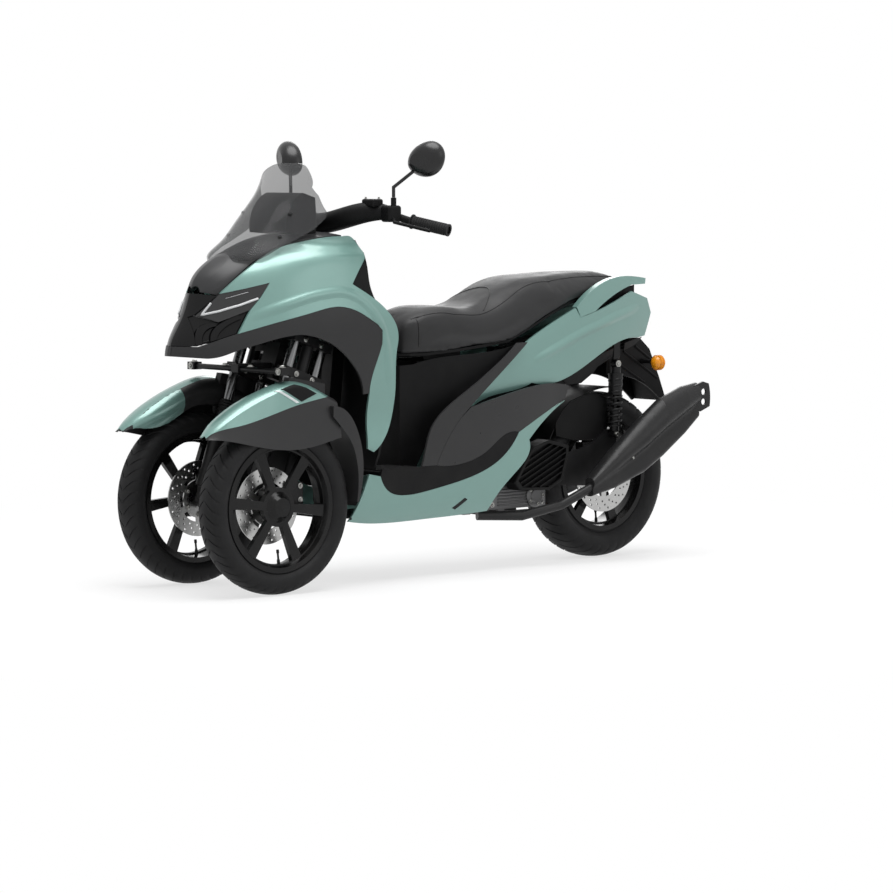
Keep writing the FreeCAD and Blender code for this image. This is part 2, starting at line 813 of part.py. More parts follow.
housing_low = V.lower_yoke_level + V.yoke_thick / 2 + 1
housing_high = V.upper_yoke_level - V.yoke_thick / 2 - 1
housing = Part.makeCylinder(17, housing_high - housing_low, Vector(0, 0, housing_low))
bore = Part.makeCylinder(V.kingpin_radius + V.bearing_gap, 200, Vector(0, 0, housing_low - 50))
height = housing_high - housing_low
arms = []
for low in (housing_low + 4, housing_high - 24):
    arms.append(leaned(block(Vector(-V.kingpin_offset, -12, low), Vector(V.kingpin_offset, 12, low + 20))))
for x in (-V.kingpin_offset, V.kingpin_offset):
    arms.append(leaned(housing, x))
arms.append(leaned(block(Vector(-34, -34, housing_low), Vector(34, 34, housing_high))))
arms.append(block(at(-16, 10, 622), at(16, 132, 646)))
arms.append(bar(at(-205, 22, 632), at(205, 22, 632), 8))
for x in (-205, 205):
    arms.append(block(at(x - 16, 8, 622), at(x + 16, 36, 644)))
linkage = fused(arms)
for x in (-V.kingpin_offset, V.kingpin_offset):
    linkage = linkage.cut(leaned(bore, x))
pipe_hole = Part.makeCylinder(V.head_pipe_radius + 0.2, 400, Vector(0, 0, V.head_pipe_bottom - 40))
linkage = linkage.cut(leaned(pipe_hole))
feature("tilt_linkage", linkage)

# Front and middle panels, each cut from its wall by a side-view outline

front_cowl = panel(front_wall, [
    [(-62, 891), (4, 939), (74, 975), (156, 996), (230, 1008), (289, 1010)],
    [(325, 1002), (341, 975), (338, 945)], [(307, 911), (277, 874)],
    [(331, 842), (390, 797), (423, 753), (428, 690)],
    [(424, 577), (411, 471), (374, 416), (343, 389)], [(318, 400)],
    [(327, 559)], [(348, 643), (374, 720), (374, 745)],
    [(322, 775), (269, 801), (210, 811), (138, 798), (10, 766), (-80, 740)],
    [(-41, 806)], [(-9, 842)], [(21, 882)], [(-102, 852)],
])
feature("front_cowl", both_sides(front_cowl))

lower_half = panel(front_wall, [
    [(10, 766), (138, 798), (210, 811), (269, 801), (322, 775), (374, 745)],
    [(374, 720), (348, 643), (327, 559)], [(304, 557)],
    [(293, 601), (252, 659), (205, 697), (148, 723), (95, 734)],
    [(31, 726), (-31, 709), (-88, 691), (-125, 676), (-160, 670)],
    [(-232, 676)], [(-232, 704)], [(-173, 704)], [(-126, 723), (-80, 740)],
])
feature("lower_cowl", fused([lower_half, mirrored(lower_half)]))

headlamp = panel(front_skin(1.5, 30), [
    [(-102, 852)], [(21, 882)], [(-9, 842)], [(-41, 806)], [(-120, 772)], [(-158, 790)],
])
feature("headlamps", both_sides(headlamp))

lamp_line = front_skin(0.2, 1.0).common(prism([
    [(-150, 798)], [(-121, 780)], [(-44, 812)], [(-11, 845)], [(-20, 852)], [(-50, 823)],
    [(-120, 791)], [(-134, 800)], [(-102, 842)], [(-112, 846)],
], -60, 320))
feature("headlamp_lines", both_sides(max(lamp_line.Solids, key=lambda solid: solid.Volume)))

centre_strip = panel(skirt_wall, [
    [(838, 619), (724, 551), (626, 492), (578, 441), (555, 379), (540, 336)],
    [(597, 336)], [(638, 402), (698, 471)], [(762, 522), (864, 600), (975, 684)],
    [(930, 684)],
])
feature("centre_strips", both_sides(centre_strip))

side_cover = panel(skirt_wall, [
    [(851, 525), (985, 549), (1114, 555), (1172, 545)], [(1155, 510)],
    [(1097, 484)], [(1020, 452)], [(940, 417)],
    [(890, 416), (807, 370), (700, 336), (597, 336)],
    [(638, 402), (698, 471)], [(740, 502)],
])
feature("side_covers", both_sides(side_cover))

ledge = panel(skirt_wall, [
    [(430, 263), (472, 256), (578, 266), (724, 293), (839, 332), (940, 417)],
    [(890, 416), (807, 370), (700, 336), (597, 336)], [(388, 336)], [(381, 316)],
])
inner_ledge = V.floor_height - V.floor_thick
floor_ring = [at(blend(behind, SKIRT_WIDTH) - 3, behind, inner_ledge) for behind in (396, 490, 586.8)]
floor_ring += [Vector(-p.x, p.y, p.z) for p in reversed(floor_ring)]
floor_plate = Part.Face(Part.makePolygon(floor_ring + floor_ring[:1]))
floor_plate = floor_plate.extrude(Vector(0, 0, V.floor_thick))
footboard = fused([floor_plate, ledge, mirrored(ledge)])
feature("footboard", footboard)

side_skirt = panel(skirt_wall, [
    [(281, 188)], [(401, 175), (576, 177), (745, 182), (825, 186)],
    [(864, 250), (939, 310), (987, 366), (985, 392)], [(1057, 447), (1154, 501)],
    [(1097, 484)], [(1020, 452)], [(940, 417)],
    [(839, 332), (724, 293), (578, 266), (472, 256), (430, 263), (381, 316)],
    [(338, 325)],
])
feature("side_skirts", both_sides(side_skirt))

tail_side = panel(tail_wall, [
    [(857, 578), (956, 665), (1042, 715), (1190, 780)], [(1210, 751)],
    [(1277, 767), (1313, 777), (1429, 815), (1455, 824)], [(1540, 800)],
    [(1567, 754)], [(1545, 683)], [(1502, 678)], [(1295, 627), (1156, 566), (1015, 560)],
    [(985, 549), (851, 525), (778, 491)],
])
feature("tail_cowl", both_sides(tail_side))

# Upper cowl: a hood from the nose to the instruments, under the windscreen

HOOD = [
    # side edge (across, behind, height), middle (behind, height)
    (74, -102, 853, -150, 862),
    (94, -62, 892, -122, 908),
    (101, 4, 940, -62, 950),
    (112, 74, 976, 30, 982),
    (138, 156, 998, 120, 1006),
    (155, 230, 1009, 210, 1018),
    (161, 285, 1012, 280, 1022),
]


def hood_row(side_x, side_back, side_high, back, high):
    """One line across the hood, inside the mint panels' wall."""
    row = []
    for share in (-1, -0.7, -0.35, 0, 0.35, 0.7, 1):
        out = abs(share)
        row.append(at((side_x - V.panel_thick - V.panel_gap) * share,
                      back + (side_back - back) * out ** 1.6,
                      high - (high - side_high) * out ** 2.2))
    return row


hood_surface = Part.BSplineSurface()
hood_surface.interpolate([hood_row(*row) for row in HOOD])
hood = hood_surface.toShape()
upper_cowl = hood.extrude(Vector(0, 0, -5))
below_hood = hood.extrude(Vector(0, 0, -120)).translated(Vector(0, 0, 0.3))
upper_cowl = upper_cowl.cut(front_wall).cut(mirrored(front_wall))
upper_cowl = max(upper_cowl.Solids, key=lambda solid: solid.Volume)
feature("upper_cowl", upper_cowl)

# Nose: a wall behind the intake, two curved ribs across it and the strip between lamps
intake = panel(front_skin(12, 10), [
    [(-41, 806)], [(-80, 740)], [(-126, 723), (-173, 704)], [(-240, 704)], [(-240, 800)],
    [(-158, 790)], [(-120, 772)],
])
nose_wall = front_skin(4, 12)
rib_outlines = [
    [[(-178, 706)], [(-172, 740), (-152, 764), (-128, 770)], [(-124, 761)],
     [(-144, 754), (-159, 736), (-164, 708)]],
    [[(-146, 718)], [(-136, 748), (-110, 772), (-70, 792)], [(-64, 782)],
     [(-102, 762), (-124, 740), (-132, 724)]],
    [[(-240, 706)], [(-180, 705)], [(-170, 786)], [(-159, 792)], [(-109, 846)], [(-150, 852)],
     [(-240, 852)]],
]
right_half = block(at(0, -260, 690), at(320, 60, 880))
nose = [intake] + [nose_wall.common(prism(runs, -60, 320)) for runs in rib_outlines]
nose = fused([piece.common(right_half) for piece in nose])
nose = fused([nose, mirrored(nose)])
feature("nose_panel", max(nose.Solids, key=lambda solid: solid.Volume))

# Windscreen: a smoked sheet, wrapped round the hood and cut to shape

SCREEN = [
    # height, middle behind, edge across, edge set back from the middle
    (935, -56, 148, 155), (1060, 61, 152, 155), (1100, 99, 145, 128), (1150, 146, 126, 60),
    (1196, 189, 108, 14), (1224, 216, 96, 4),
]


def screen_wire(height, middle, edge, back):
    """The windscreen's section at one height, as a closed band."""
    shares = (-1, -0.67, -0.33, 0, 0.33, 0.67, 1)
    edges = []
    for offset in (0, V.screen_thick * 1.4):
        row = [at(edge * share, middle + offset + back * abs(share) ** 3, height)
               for share in shares]
        curve = Part.BSplineCurve()
        curve.interpolate(row if offset == 0 else row[::-1])
        edges.append(curve.toShape())
    joins = [Part.LineSegment(edges[0].Vertexes[1].Point, edges[1].Vertexes[0].Point).toShape(),
             Part.LineSegment(edges[1].Vertexes[1].Point, edges[0].Vertexes[0].Point).toShape()]
    return Part.Wire([edges[0], joins[0], edges[1], joins[1]])


screen = Part.makeLoft([screen_wire(*row) for row in SCREEN], True, False)
screen_side = [[(-80, 930)], [(-45, 941)], [(4, 944)], [(74, 981)], [(150, 1004)], [(236, 1072)], [(220, 1100), (212, 1150), (214, 1200)],
               [(240, 1240)], [(-80, 1240)]]
screen = screen.common(prism(screen_side, -200, 200))
front_edge = Part.BSplineCurve()
front_edge.interpolate([at(x, -100, z) for x, z in (
    (-119, 1150), (-106, 1190), (-70, 1213), (0, 1219), (70, 1213), (106, 1190), (119, 1150))])
lower = [at(119, -100, 1150), at(170, -100, 1060), at(170, -100, 900), at(-170, -100, 900),
         at(-170, -100, 1060), at(-119, -100, 1150)]
front_view = Part.Face(Part.Wire([front_edge.toShape(), Part.makePolygon(lower).Edges[0]]
                                 + Part.makePolygon(lower).Edges[1:]))
screen = screen.common(front_view.extrude(Vector(0, 500, 0))).cut(below_hood)
feature("windscreen", max(screen.Solids, key=lambda solid: solid.Volume))

dash = prism([[(132, 1020)], [(140, 1080), (168, 1118), (196, 1134)], [(240, 1120)],
              [(246, 1040)], [(240, 1010)]], -84, 84)
feature("dash", dash.cut(below_hood))

# Leg shield and wheel liner: the two walls that close the front body behind


def front_limit(inset):
    """The front body's inner width as a solid, seen from ahead."""
    heights = (380, 500, 620, 700, 780, 860, 920, 960, 1020)
    right = [at(blend(z, FRONT_WIDTH) - inset, 200, z) for z in heights]
    right.insert(0, at(184, 200, 330))
    left = [Vector(-p.x, p.y, p.z) for p in reversed(right)]
    ring = Part.makePolygon(right + left + [right[0]])
    return Part.Face(ring).extrude(Vector(0, 300, 0))


inner_width = front_limit(V.panel_thick + 0.3)
shield = prism([
    [(298, 1011)], [(330, 1008), (346, 975), (349, 930), (345, 880), (356, 830)],
    [(386, 790), (414, 742), (421, 690), (417, 577), (404, 471), (385, 400), (380, 334)],
    [(373, 334)], [(377, 400), (397, 471), (410, 577), (414, 690), (407, 738)],
    [(380, 780)], [(300, 850)], [(268, 868)], [(285, 905)], [(300, 950)], [(296, 1003)],
], -235, 235)
shield = shield.common(inner_width).fuse(block(at(-15, 380, 680), at(15, 416, 700))).cut(frame)
shield = max(shield.removeSplitter().Solids, key=lambda solid: solid.Volume)
hollow = block(at(-160, 250, 840), at(160, 338, 1000))
stem_room = leaned(Part.makeCylinder(V.stem_radius + 6, 400, Vector(0, 0, 900)))
shield = shield.cut(hollow).cut(stem_room).cut(front_wall).cut(mirrored(front_wall))
feature("leg_shield", max(shield.Solids, key=lambda solid: solid.Volume))

liner = prism([
    [(349, 650), (331, 560), (328, 430)], [(322, 360), (296, 290)], [(288, 194)], [(284, 194)],
    [(292, 290), (318, 360), (324, 430)], [(327, 560), (345, 650)],
], -188, 188)
liner = liner.cut(skirt_wall).cut(mirrored(skirt_wall))
feature("wheel_liner", max(liner.Solids, key=lambda solid: solid.Volume))

# Middle: the tunnel cover, the storage box and the belly pan


def cover_row(height, inset):
    return [at(98 + 0.2 * (behind - 545) - inset, behind, height)
            for behind in (545, 660, 780, 900, 1000)]


cover_wall = skin([cover_row(height, 0) for height in (320, 480, 700)], 4)
cover_top = V.seat_hinge_height - 15
cover_side = cover_wall.common(prism([
    [(545, cover_top)], [(590, cover_top + 3)],
    [(633, cover_top + 14), (762, cover_top + 28), (930, cover_top + 51)], [(975, 684)],
    [(864, 600), (762, 522), (698, 471), (638, 402)], [(600, V.floor_height + 0.3)],
    [(545, V.floor_height + 0.3)],
], 0, 300))
front_wall_piece = block(at(-98, 545, V.floor_height + 0.3), at(98, 549, cover_top))
hook = block(at(-9, 515, 600), at(9, 547, 608)).fuse(block(at(-9, 512, 600), at(9, 518, 622)))
cover = fused([front_wall_piece, cover_side, mirrored(cover_side), hook])
cover = cover.cut(skirt_wall).cut(mirrored(skirt_wall))
feature("centre_cover", max(cover.Solids, key=lambda solid: solid.Volume))

box_front = 613.3
box_top = V.seat_hinge_height - 4
outer_box = block(at(-V.box_width / 2, box_front, box_top - V.box_depth),
                  at(V.box_width / 2, box_front + V.box_length, box_top))
inner_box = block(at(-V.box_width / 2 + V.box_wall, box_front + V.box_wall,
                     box_top - V.box_depth + V.box_wall),
                  at(V.box_width / 2 - V.box_wall, box_front + V.box_length - V.box_wall,
                     box_top + 1))
feature("storage_box", outer_box.cut(inner_box))
belly_rib = block(at(-30, 590, 190), at(30, 610, V.rail_height - V.rail_radius - 0.3))
feature("belly_pan", fused([block(at(-100, 300, 188), at(100, 800, 192)), belly_rib]))

# Seat: a pan hinged at the front, and the cushion on it

SEAT = [
    # behind, half width, pan and top height above the hinge
    (562, 76, 12, 84), (588, 98, 12, 128), (640, 116, 13, 146), (740, 136, 22, 151),
    (840, 146, 33, 151), (930, 150, 44, 186), (1020, 150, 82, 222), (1110, 146, 122, 234),
    (1190, 134, 150, 238), (1290, 118, 166, 241), (1380, 106, 172, 240), (1462, 84, 178, 226),
]
SEAT = [(behind, half, V.seat_hinge_height + low, V.seat_hinge_height + high)
        for behind, half, low, high in SEAT]
PAN = 8


def seat_wire(behind, half, low, high):
    tall = high - low
    shoulder = blend(behind, [(740, 0.92), (930, 0.82)])
    top = [at(half, behind, low), at(half + 2, behind, low + tall * 0.48),
           at(half * shoulder, behind, low + tall * 0.87), at(half * 0.46, behind, high - 2),
           at(0, behind, high)]
    curve = Part.BSplineCurve()
    curve.interpolate(top + [Vector(-p.x, p.y, p.z) for p in reversed(top[:-1])])
    return Part.Wire([curve.toShape(), Part.LineSegment(at(-half, behind, low),
                                                        at(half, behind, low)).toShape()])


def seat_loft(rows):
    return Part.makeLoft([seat_wire(*row) for row in rows], True, False)


cushion = seat_loft([(b, h, low + PAN, top) for b, h, low, top in SEAT])
pan_points = [(b, low) for b, h, low, top in SEAT]
pan_side = [[p] for p in pan_points] + [[(b, low + PAN)] for b, low in reversed(pan_points)]
pan = prism(pan_side, -200, 200)
ring = [at(h - 4, b, 0) for b, h, low, top in SEAT]
ring += [Vector(-p.x, p.y, p.z) for p in reversed(ring)]
pan = pan.common(Part.Face(Part.makePolygon(ring + [ring[0]])).extrude(Vector(0, 0, 1000)))
hinge_pin = Part.makeCylinder(5, 90, hinge - Vector(45, 0, 0), Vector(1, 0, 0))
lugs = [block(hinge + Vector(x, -9, -4), hinge + Vector(x + 10, 9, 16)) for x in (-26, 16)]
seat_pan = fused([pan, hinge_pin] + lugs)
feature("seat_pan", seat_pan)
cushion = cushion.cut(seat_pan)
feature("seat_cushion", max(cushion.Solids, key=lambda solid: solid.Volume))

# Tail: grab rail, under tail, lamp, mudguard and indicators

rail_side = panel(tail_skin(0, 22), [
    [(1210, 751)], [(1277, 767)], [(1303, 783), (1371, 816), (1458, 843)], [(1528, 844)],
    [(1532, 862)], [(1472, 869), (1375, 868), (1265, 831), (1195, 782)],
])
cross_plate = block(at(-90, 1474, 846), at(90, 1530, 858))
rack = fused([rail_side, mirrored(rail_side), cross_plate])
for x in (-60, 60):
    for behind in (1485, 1521):
        rack = rack.cut(Part.makeCylinder(3.3, 60, at(x, behind, 820)))
feature("grab_rail", rack)

under_side = panel(tail_skin(4, 5), [
    [(1156, 562)], [(1295, 623), (1502, 674)], [(1540, 679)],
    [(1517, 663), (1428, 638), (1300, 579)], [(1245, 548)], [(1180, 546)],
])
under_floor = prism([[(1300, 590)], [(1428, 640)], [(1500, 656)], [(1500, 662)],
                     [(1428, 646)], [(1300, 596)], [(1190, 560)], [(1190, 554)]], 0, 200)
under_floor = under_floor.common(tail_skin(4.5, 200))
under_half = under_floor.fuse(under_side)
under_tail = fused([under_half, mirrored(under_half)])
under_tail = under_tail.cut(tail_wall).cut(mirrored(tail_wall))
for x in (-shock_x, shock_x):
    under_tail = under_tail.cut(block(at(x - 28, 1386, 560), at(x + 28, 1444, 700)))
feature("under_tail", max(under_tail.Solids, key=lambda solid: solid.Volume))

lamp = prism([[(1500, 696)], [(1546, 690)], [(1566, 752)], [(1538, 796)], [(1500, 790)]], -82, 82)
feature("tail_lamp", lamp)

guard_wall = prism([[(1540, 676)], [(1582, 640)], [(1624, 551)], [(1654, 478)], [(1648, 476)],
                    [(1617, 549)], [(1576, 634)], [(1538, 668)], [(1490, 652)], [(1490, 676)]],
                   -72, 72)
guard_cheek = prism([[(1541, 670)], [(1582, 640)], [(1624, 551)], [(1654, 478)], [(1640, 472)],
                     [(1600, 506), (1540, 541), (1460, 560)], [(1405, 566)], [(1405, 640)],
                     [(1500, 672)]], 66, 72)
guard = fused([guard_wall, guard_cheek, mirrored(guard_cheek)]).cut(under_tail).cut(lamp)
guard = max(guard.Solids, key=lambda solid: solid.Volume)
feature("rear_mudguard", guard)
stalk = block(at(72.3, 1544, 598), at(126, 1556, 608))
lens = Part.makeCone(15, 22, 26, at(135, 1536, 602), Vector(0, 1, 0))
feature("rear_indicators", both_sides(fused([stalk, lens])))

hugger = Part.makeCylinder(V.rear_tyre_radius + 18, 140, at(-70, V.wheelbase, V.rear_tyre_radius),
                           Vector(1, 0, 0))
hugger = hugger.cut(Part.makeCylinder(V.rear_tyre_radius + 14, 160,
                                      at(-80, V.wheelbase, V.rear_tyre_radius), Vector(1, 0, 0)))
wedge = [at(-80, V.wheelbase, V.rear_tyre_radius), at(-80, V.wheelbase + 5, 700),
         at(-80, 1000, 700), at(-80, 1000, 420), at(-80, V.wheelbase, V.rear_tyre_radius)]
hugger = hugger.common(Part.Face(Part.makePolygon(wedge)).extrude(Vector(160, 0, 0)))
feature("hugger", hugger)

# Power unit: engine, transmission case and air box as one swinging mass

engine = [
    block(at(-88, 905, 178), at(84, 1135, 350)),
    block(at(-62, 790, 214), at(62, 910, 330)),
]
case = prism([[(1010, 340), (1150, 352), (1300, 335), (1425, 312)], [(1462, 285), (1470, 256),
             (1455, 222)], [(1410, 200), (1200, 186), (990, 186)]], -135, -78)
air_box = prism([[(1040, 470), (1150, 492), (1260, 470)], [(1300, 400)], [(1290, 352)],
                 [(1030, 350)]], -132, -70.3)
pivot = at(0, V.stand_pivot_back, V.stand_pivot_height)
stand_lugs = [block(pivot + Vector(x, -14, -14), pivot + Vector(x + 12, 14, 20)) for x in (-84, 72)]
shock_low = at(0, 1408, 385)
case_lug = block(at(-86, 1392, 300), at(-78, 1424, 393))
case_pin = Part.makeCylinder(6, 30, shock_low + Vector(-108, 0, 0), Vector(1, 0, 0))
mount_reach = V.rail_spacing / 2 - V.rail_radius - 0.3
mount_pin = bar(at(-mount_reach, 940, 326.7), at(mount_reach, 940, 326.7), 8)
unit = fused(engine + [case, air_box, case_lug, case_pin, mount_pin] + stand_lugs)
unit = unit.cut(Part.makeCylinder(6.3, 200, pivot - Vector(100, 0, 0), Vector(1, 0, 0)))
feature("power_unit", unit)

cover_edge = [[(1103, 383), (1040, 365), (1021, 347)], [(963, 261)], [(985, 236), (1104, 231)],
              [(1158, 259), (1183, 340), (1183, 363)]]
radiator = prism(cover_edge, 84.3, 138)
recess = prism(cover_edge, 126, 150, 9)
radiator = radiator.cut(recess)
ribs = []
for index in range(6):
    back = 985 + index * 32
    rib = prism([[(back, 226)], [(back + 9, 226)], [(back + 69, 392)], [(back + 60, 392)]], 126, 141)
    ribs += rib.common(recess).Solids
feature("radiator_cover", fused([radiator] + ribs))

arm = prism([[(1200, 330), (1300, 350), (1388, 398)], [(1428, 398)], [(1442, 256)], [(1410, 224)],
             [(1200, 236)], [(1135.3, 236)], [(1135.3, 320)]], 72, 84)
arm_pin = Part.makeCylinder(6, 38, shock_low + Vector(72, 0, 0), Vector(1, 0, 0))
spindle = Part.makeCylinder(V.spindle_radius, 164, at(-77.7, V.wheelbase, V.rear_tyre_radius),
                            Vector(1, 0, 0))
feature("swing_arm", fused([arm, arm_pin, spindle]))

rear_caliper = block(at(38, 1302, 300), at(71.7, 1364, 362))
rear_slot = Part.makeCylinder(V.rear_disc_radius + 4, V.disc_thick + 5,
                              at(V.rear_rim_width / 2 - 1.2, V.wheelbase, V.rear_tyre_radius),
                              Vector(1, 0, 0))
rear_caliper = rear_caliper.cut(rear_slot)
feature("caliper_rear", max(rear_caliper.Solids, key=lambda solid: solid.Volume))

# Rear shocks: a damper inside a coil spring, drawn as turned ridges


def shock(x):
    """One damper between its two eyes, with the spring as a row of rings."""
    high = at(x, 1415, 601)
    low = at(x, 1408, 385)
    run = high - low
    length = run.Length
    parts = [Part.makeCylinder(12, length - 24, Vector(0, 0, 12))]
    count = 7
    pitch = (length - 66) / (count - 1)
    for index in range(count):
        base = 33 + pitch * index - 6
        ring = [Vector(V.shock_radius, 0, base)]
        turn = FreeCAD.Rotation(Vector(0, 0, 1), 30)
        for _ in range(11):
            ring.append(turn.multVec(ring[-1]))
        parts.append(Part.Face(Part.makePolygon(ring + ring[:1])).extrude(Vector(0, 0, 12)))
    body = fused(parts)
    turn = FreeCAD.Rotation(Vector(0, 0, 1), run)
    body = body.transformed(FreeCAD.Placement(low, turn).toMatrix(), copy=True)
    eyes = [block(end - Vector(10, 12, 14), end + Vector(10, 12, 14)) for end in (low, high)]
    body = fused([body] + eyes)
    for end in (low, high):
        body = body.cut(Part.makeCylinder(6.3, 40, end - Vector(20, 0, 0), Vector(1, 0, 0)))
    return body


feature("rear_shocks", Part.Compound([shock(-shock_x), shock(shock_x)]))

# Exhaust: the header under the engine and the muffler beside the wheel

MUFFLER = [
    # behind, low, high, inner X, outer X
    (1238, 206, 262, 152, 190), (1330, 226, 345, 145, 200), (1450, 266, 437, 142, 202),
    (1530, 312, 492, 142, 202), (1622, 376, 526, 144, 200), (1682, 424, 536, 152, 194),
]


def muffler_wire(behind, low, high, inner, outer):
    mid_x, mid_z = (inner + outer) / 2, (low + high) / 2
    half_x, half_z = (outer - inner) / 2, (high - low) / 2
    points = []
    for step in range(8):
        angle = math.radians(45 * step)
        across, up = math.cos(angle), math.sin(angle)
        push = 1 / max(abs(across), abs(up)) ** 0.5
        points.append(at(mid_x + half_x * across * push, behind, mid_z + half_z * up * push))
    curve = Part.BSplineCurve()
    curve.interpolate(points, PeriodicFlag=True)
    return Part.Wire([curve.toShape()])


muffler = Part.makeLoft([muffler_wire(*row) for row in MUFFLER], True, True)
end_plate = prism([[(1640, 450)], [(1690, 446)], [(1729, 461)], [(1731, 500), (1725, 532)],
                   [(1700, 539)], [(1640, 520)]], 184, 190)
for height in (476, 507):
    end_plate = end_plate.cut(Part.makeCylinder(10, 20, at(176, 1703, height), Vector(1, 0, 0)))
header = bent_bar([at(74, 868, 163), at(128, 1000, 158), at(150, 1140, 184), at(170, 1244, 232)],
                  14)
port = bar(at(78, 925, 160), at(78, 925, 177.7), 14)
feature("exhaust", fused([muffler, end_plate, header, port]))

# Handlebar cover, controls and mirrors


def cover_wire(x, behind, height, half_back, half_up):
    points = [at(x, behind + half_back * math.cos(math.radians(a)),
                 height + half_up * math.sin(math.radians(a))) for a in range(0, 360, 45)]
    curve = Part.BSplineCurve()
    curve.interpolate(points, PeriodicFlag=True)
    return Part.Wire([curve.toShape()])


bar_cover = Part.makeLoft([cover_wire(*row) for row in (
    (-212, 408, 1076, 20, 20), (-150, 368, 1076, 30, 30), (-70, 332, 1054, 38, 31),
    (0, 322, 1044, 40, 30), (70, 332, 1054, 38, 31), (150, 368, 1076, 30, 30),
    (212, 408, 1076, 20, 20))], True, False)
switch = block(at(206, 380, 1050), at(250, 428, 1098))
switch = switch.makeFillet(9, switch.Edges)
tank = block(at(146, 360, 1092), at(200, 400, 1116))
tank = tank.makeFillet(6, tank.Edges)
collar = Part.makeCylinder(8, 30, at(237, 406, 1090))
lever = bent_bar([at(240, 400, 1064), at(262, 388, 1050), at(362, 436, 1026)], 5)
controls = [switch, tank, lever, collar]
stem_solid = fused(stem + [bar_cover] + controls + [mirrored(shape) for shape in controls])
feature("handlebar", stem_solid)

MIRROR = [(-56, -18), (-44, 22), (-12, 47), (28, 51), (56, 24), (50, -20), (16, -47),
          (-30, -46)]


def mirror_wire(behind, share, tilt):
    points = [at(314 + x * share, behind + tilt * x, 1230 + z * share) for x, z in MIRROR]
    curve = Part.BSplineCurve()
    curve.interpolate(points, PeriodicFlag=True)
    return Part.Wire([curve.toShape()])


head = Part.makeLoft([mirror_wire(behind, share, 0.15) for behind, share in (
    (478, 0.96), (470, 1.0), (452, 0.93), (436, 0.7), (427, 0.36))], True, False)
mirror_stem = bent_bar([at(237, 406, 1120.3), at(237, 406, 1150), at(300, 454, 1212)], 5)
feature("mirrors", both_sides(fused([head, mirror_stem])))

# Stands: both folded up

stand_parts = [Part.makeCylinder(6, 168, pivot - Vector(84, 0, 0), Vector(1, 0, 0)),
               block(pivot - Vector(70, 9, 9), pivot + Vector(70, 9, 9))]
for x in (-62, 62):
    foot = pivot + Vector(x, V.stand_leg, -10)
    stand_parts.append(block(pivot + Vector(x - 8, 0, -9), pivot + Vector(x + 8, V.stand_leg, 5)))
    stand_parts.append(block(foot + Vector(-14, -20, -6), foot + Vector(14, 10, 1)))
feature("centre_stand", fused(stand_parts))

side_pivot = at(-V.rail_spacing / 2 - 26.3, V.side_stand_back, V.rail_height - 28)
side_leg = [Part.makeCylinder(8, 14, side_pivot - Vector(7, 0, 0), Vector(1, 0, 0)),
            block(side_pivot + Vector(-7, 0, -7), side_pivot + Vector(7, V.side_stand_leg, 7)),
            block(side_pivot + Vector(-20, V.side_stand_leg - 30, -9),
                  side_pivot + Vector(10, V.side_stand_leg, -5))]
side_bore = Part.makeCylinder(4.3, 60, side_pivot - Vector(30, 0, 0), Vector(1, 0, 0))
feature("side_stand", fused(side_leg).cut(side_bore))
side_lug = block(side_pivot + Vector(7.3, -12, -10), side_pivot + Vector(13.3, 12, 24))
side_pin = Part.makeCylinder(4, 28, side_pivot - Vector(12, 0, 0), Vector(1, 0, 0))
feature("side_stand_bracket", fused([side_lug, side_pin]))

doc.recompute()
failed = [obj.Name for obj in doc.Objects if {"Invalid", "Error"} & set(obj.State)]
if failed:
    raise ValueError("failed: " + ", ".join(failed))
os.makedirs("parts", exist_ok=True)
for obj in nodes:
    if obj.Shape.isNull() or not obj.Shape.isValid():
        raise ValueError(obj.Label + " is not a sound shape")
for obj in nodes:
    obj.Shape.exportStep("parts/" + obj.Label + ".step")
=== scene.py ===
import math

import bpy
import bmesh
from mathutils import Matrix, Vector
from mathutils.bvhtree import BVHTree


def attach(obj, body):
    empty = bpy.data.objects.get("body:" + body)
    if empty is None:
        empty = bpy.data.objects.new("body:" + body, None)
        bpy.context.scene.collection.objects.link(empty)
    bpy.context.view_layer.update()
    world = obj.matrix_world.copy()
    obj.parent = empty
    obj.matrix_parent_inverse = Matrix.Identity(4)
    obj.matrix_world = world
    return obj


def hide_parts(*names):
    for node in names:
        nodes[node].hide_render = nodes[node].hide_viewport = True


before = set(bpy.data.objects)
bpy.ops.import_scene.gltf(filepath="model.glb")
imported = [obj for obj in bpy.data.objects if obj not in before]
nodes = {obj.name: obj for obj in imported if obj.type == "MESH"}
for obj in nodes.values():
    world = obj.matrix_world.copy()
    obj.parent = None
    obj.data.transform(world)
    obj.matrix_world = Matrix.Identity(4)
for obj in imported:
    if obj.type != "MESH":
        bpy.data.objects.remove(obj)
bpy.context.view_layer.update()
scene = bpy.context.scene


# Frame: welded steel tubes from the head pipe under the floor to the tail, with the
# cast tilt linkage clamped to the head pipe. Both are powder coated satin black.

class Field:
    """A value that varies over a surface; arithmetic on it adds Math nodes."""

    def __init__(self, finish, socket):
        self.finish = finish
        self.socket = socket

    def math(self, operation, *values):
        node = self.finish.tree.nodes.new("ShaderNodeMath")
        node.operation = operation
        for slot, value in zip(node.inputs, values):
            self.finish.feed(slot, value)
        return Field(self.finish, node.outputs[0])

    def __add__(self, other):
        return self.math("ADD", self, other)

    def __mul__(self, other):
        return self.math("MULTIPLY", self, other)

    __radd__ = __add__
    __rmul__ = __mul__


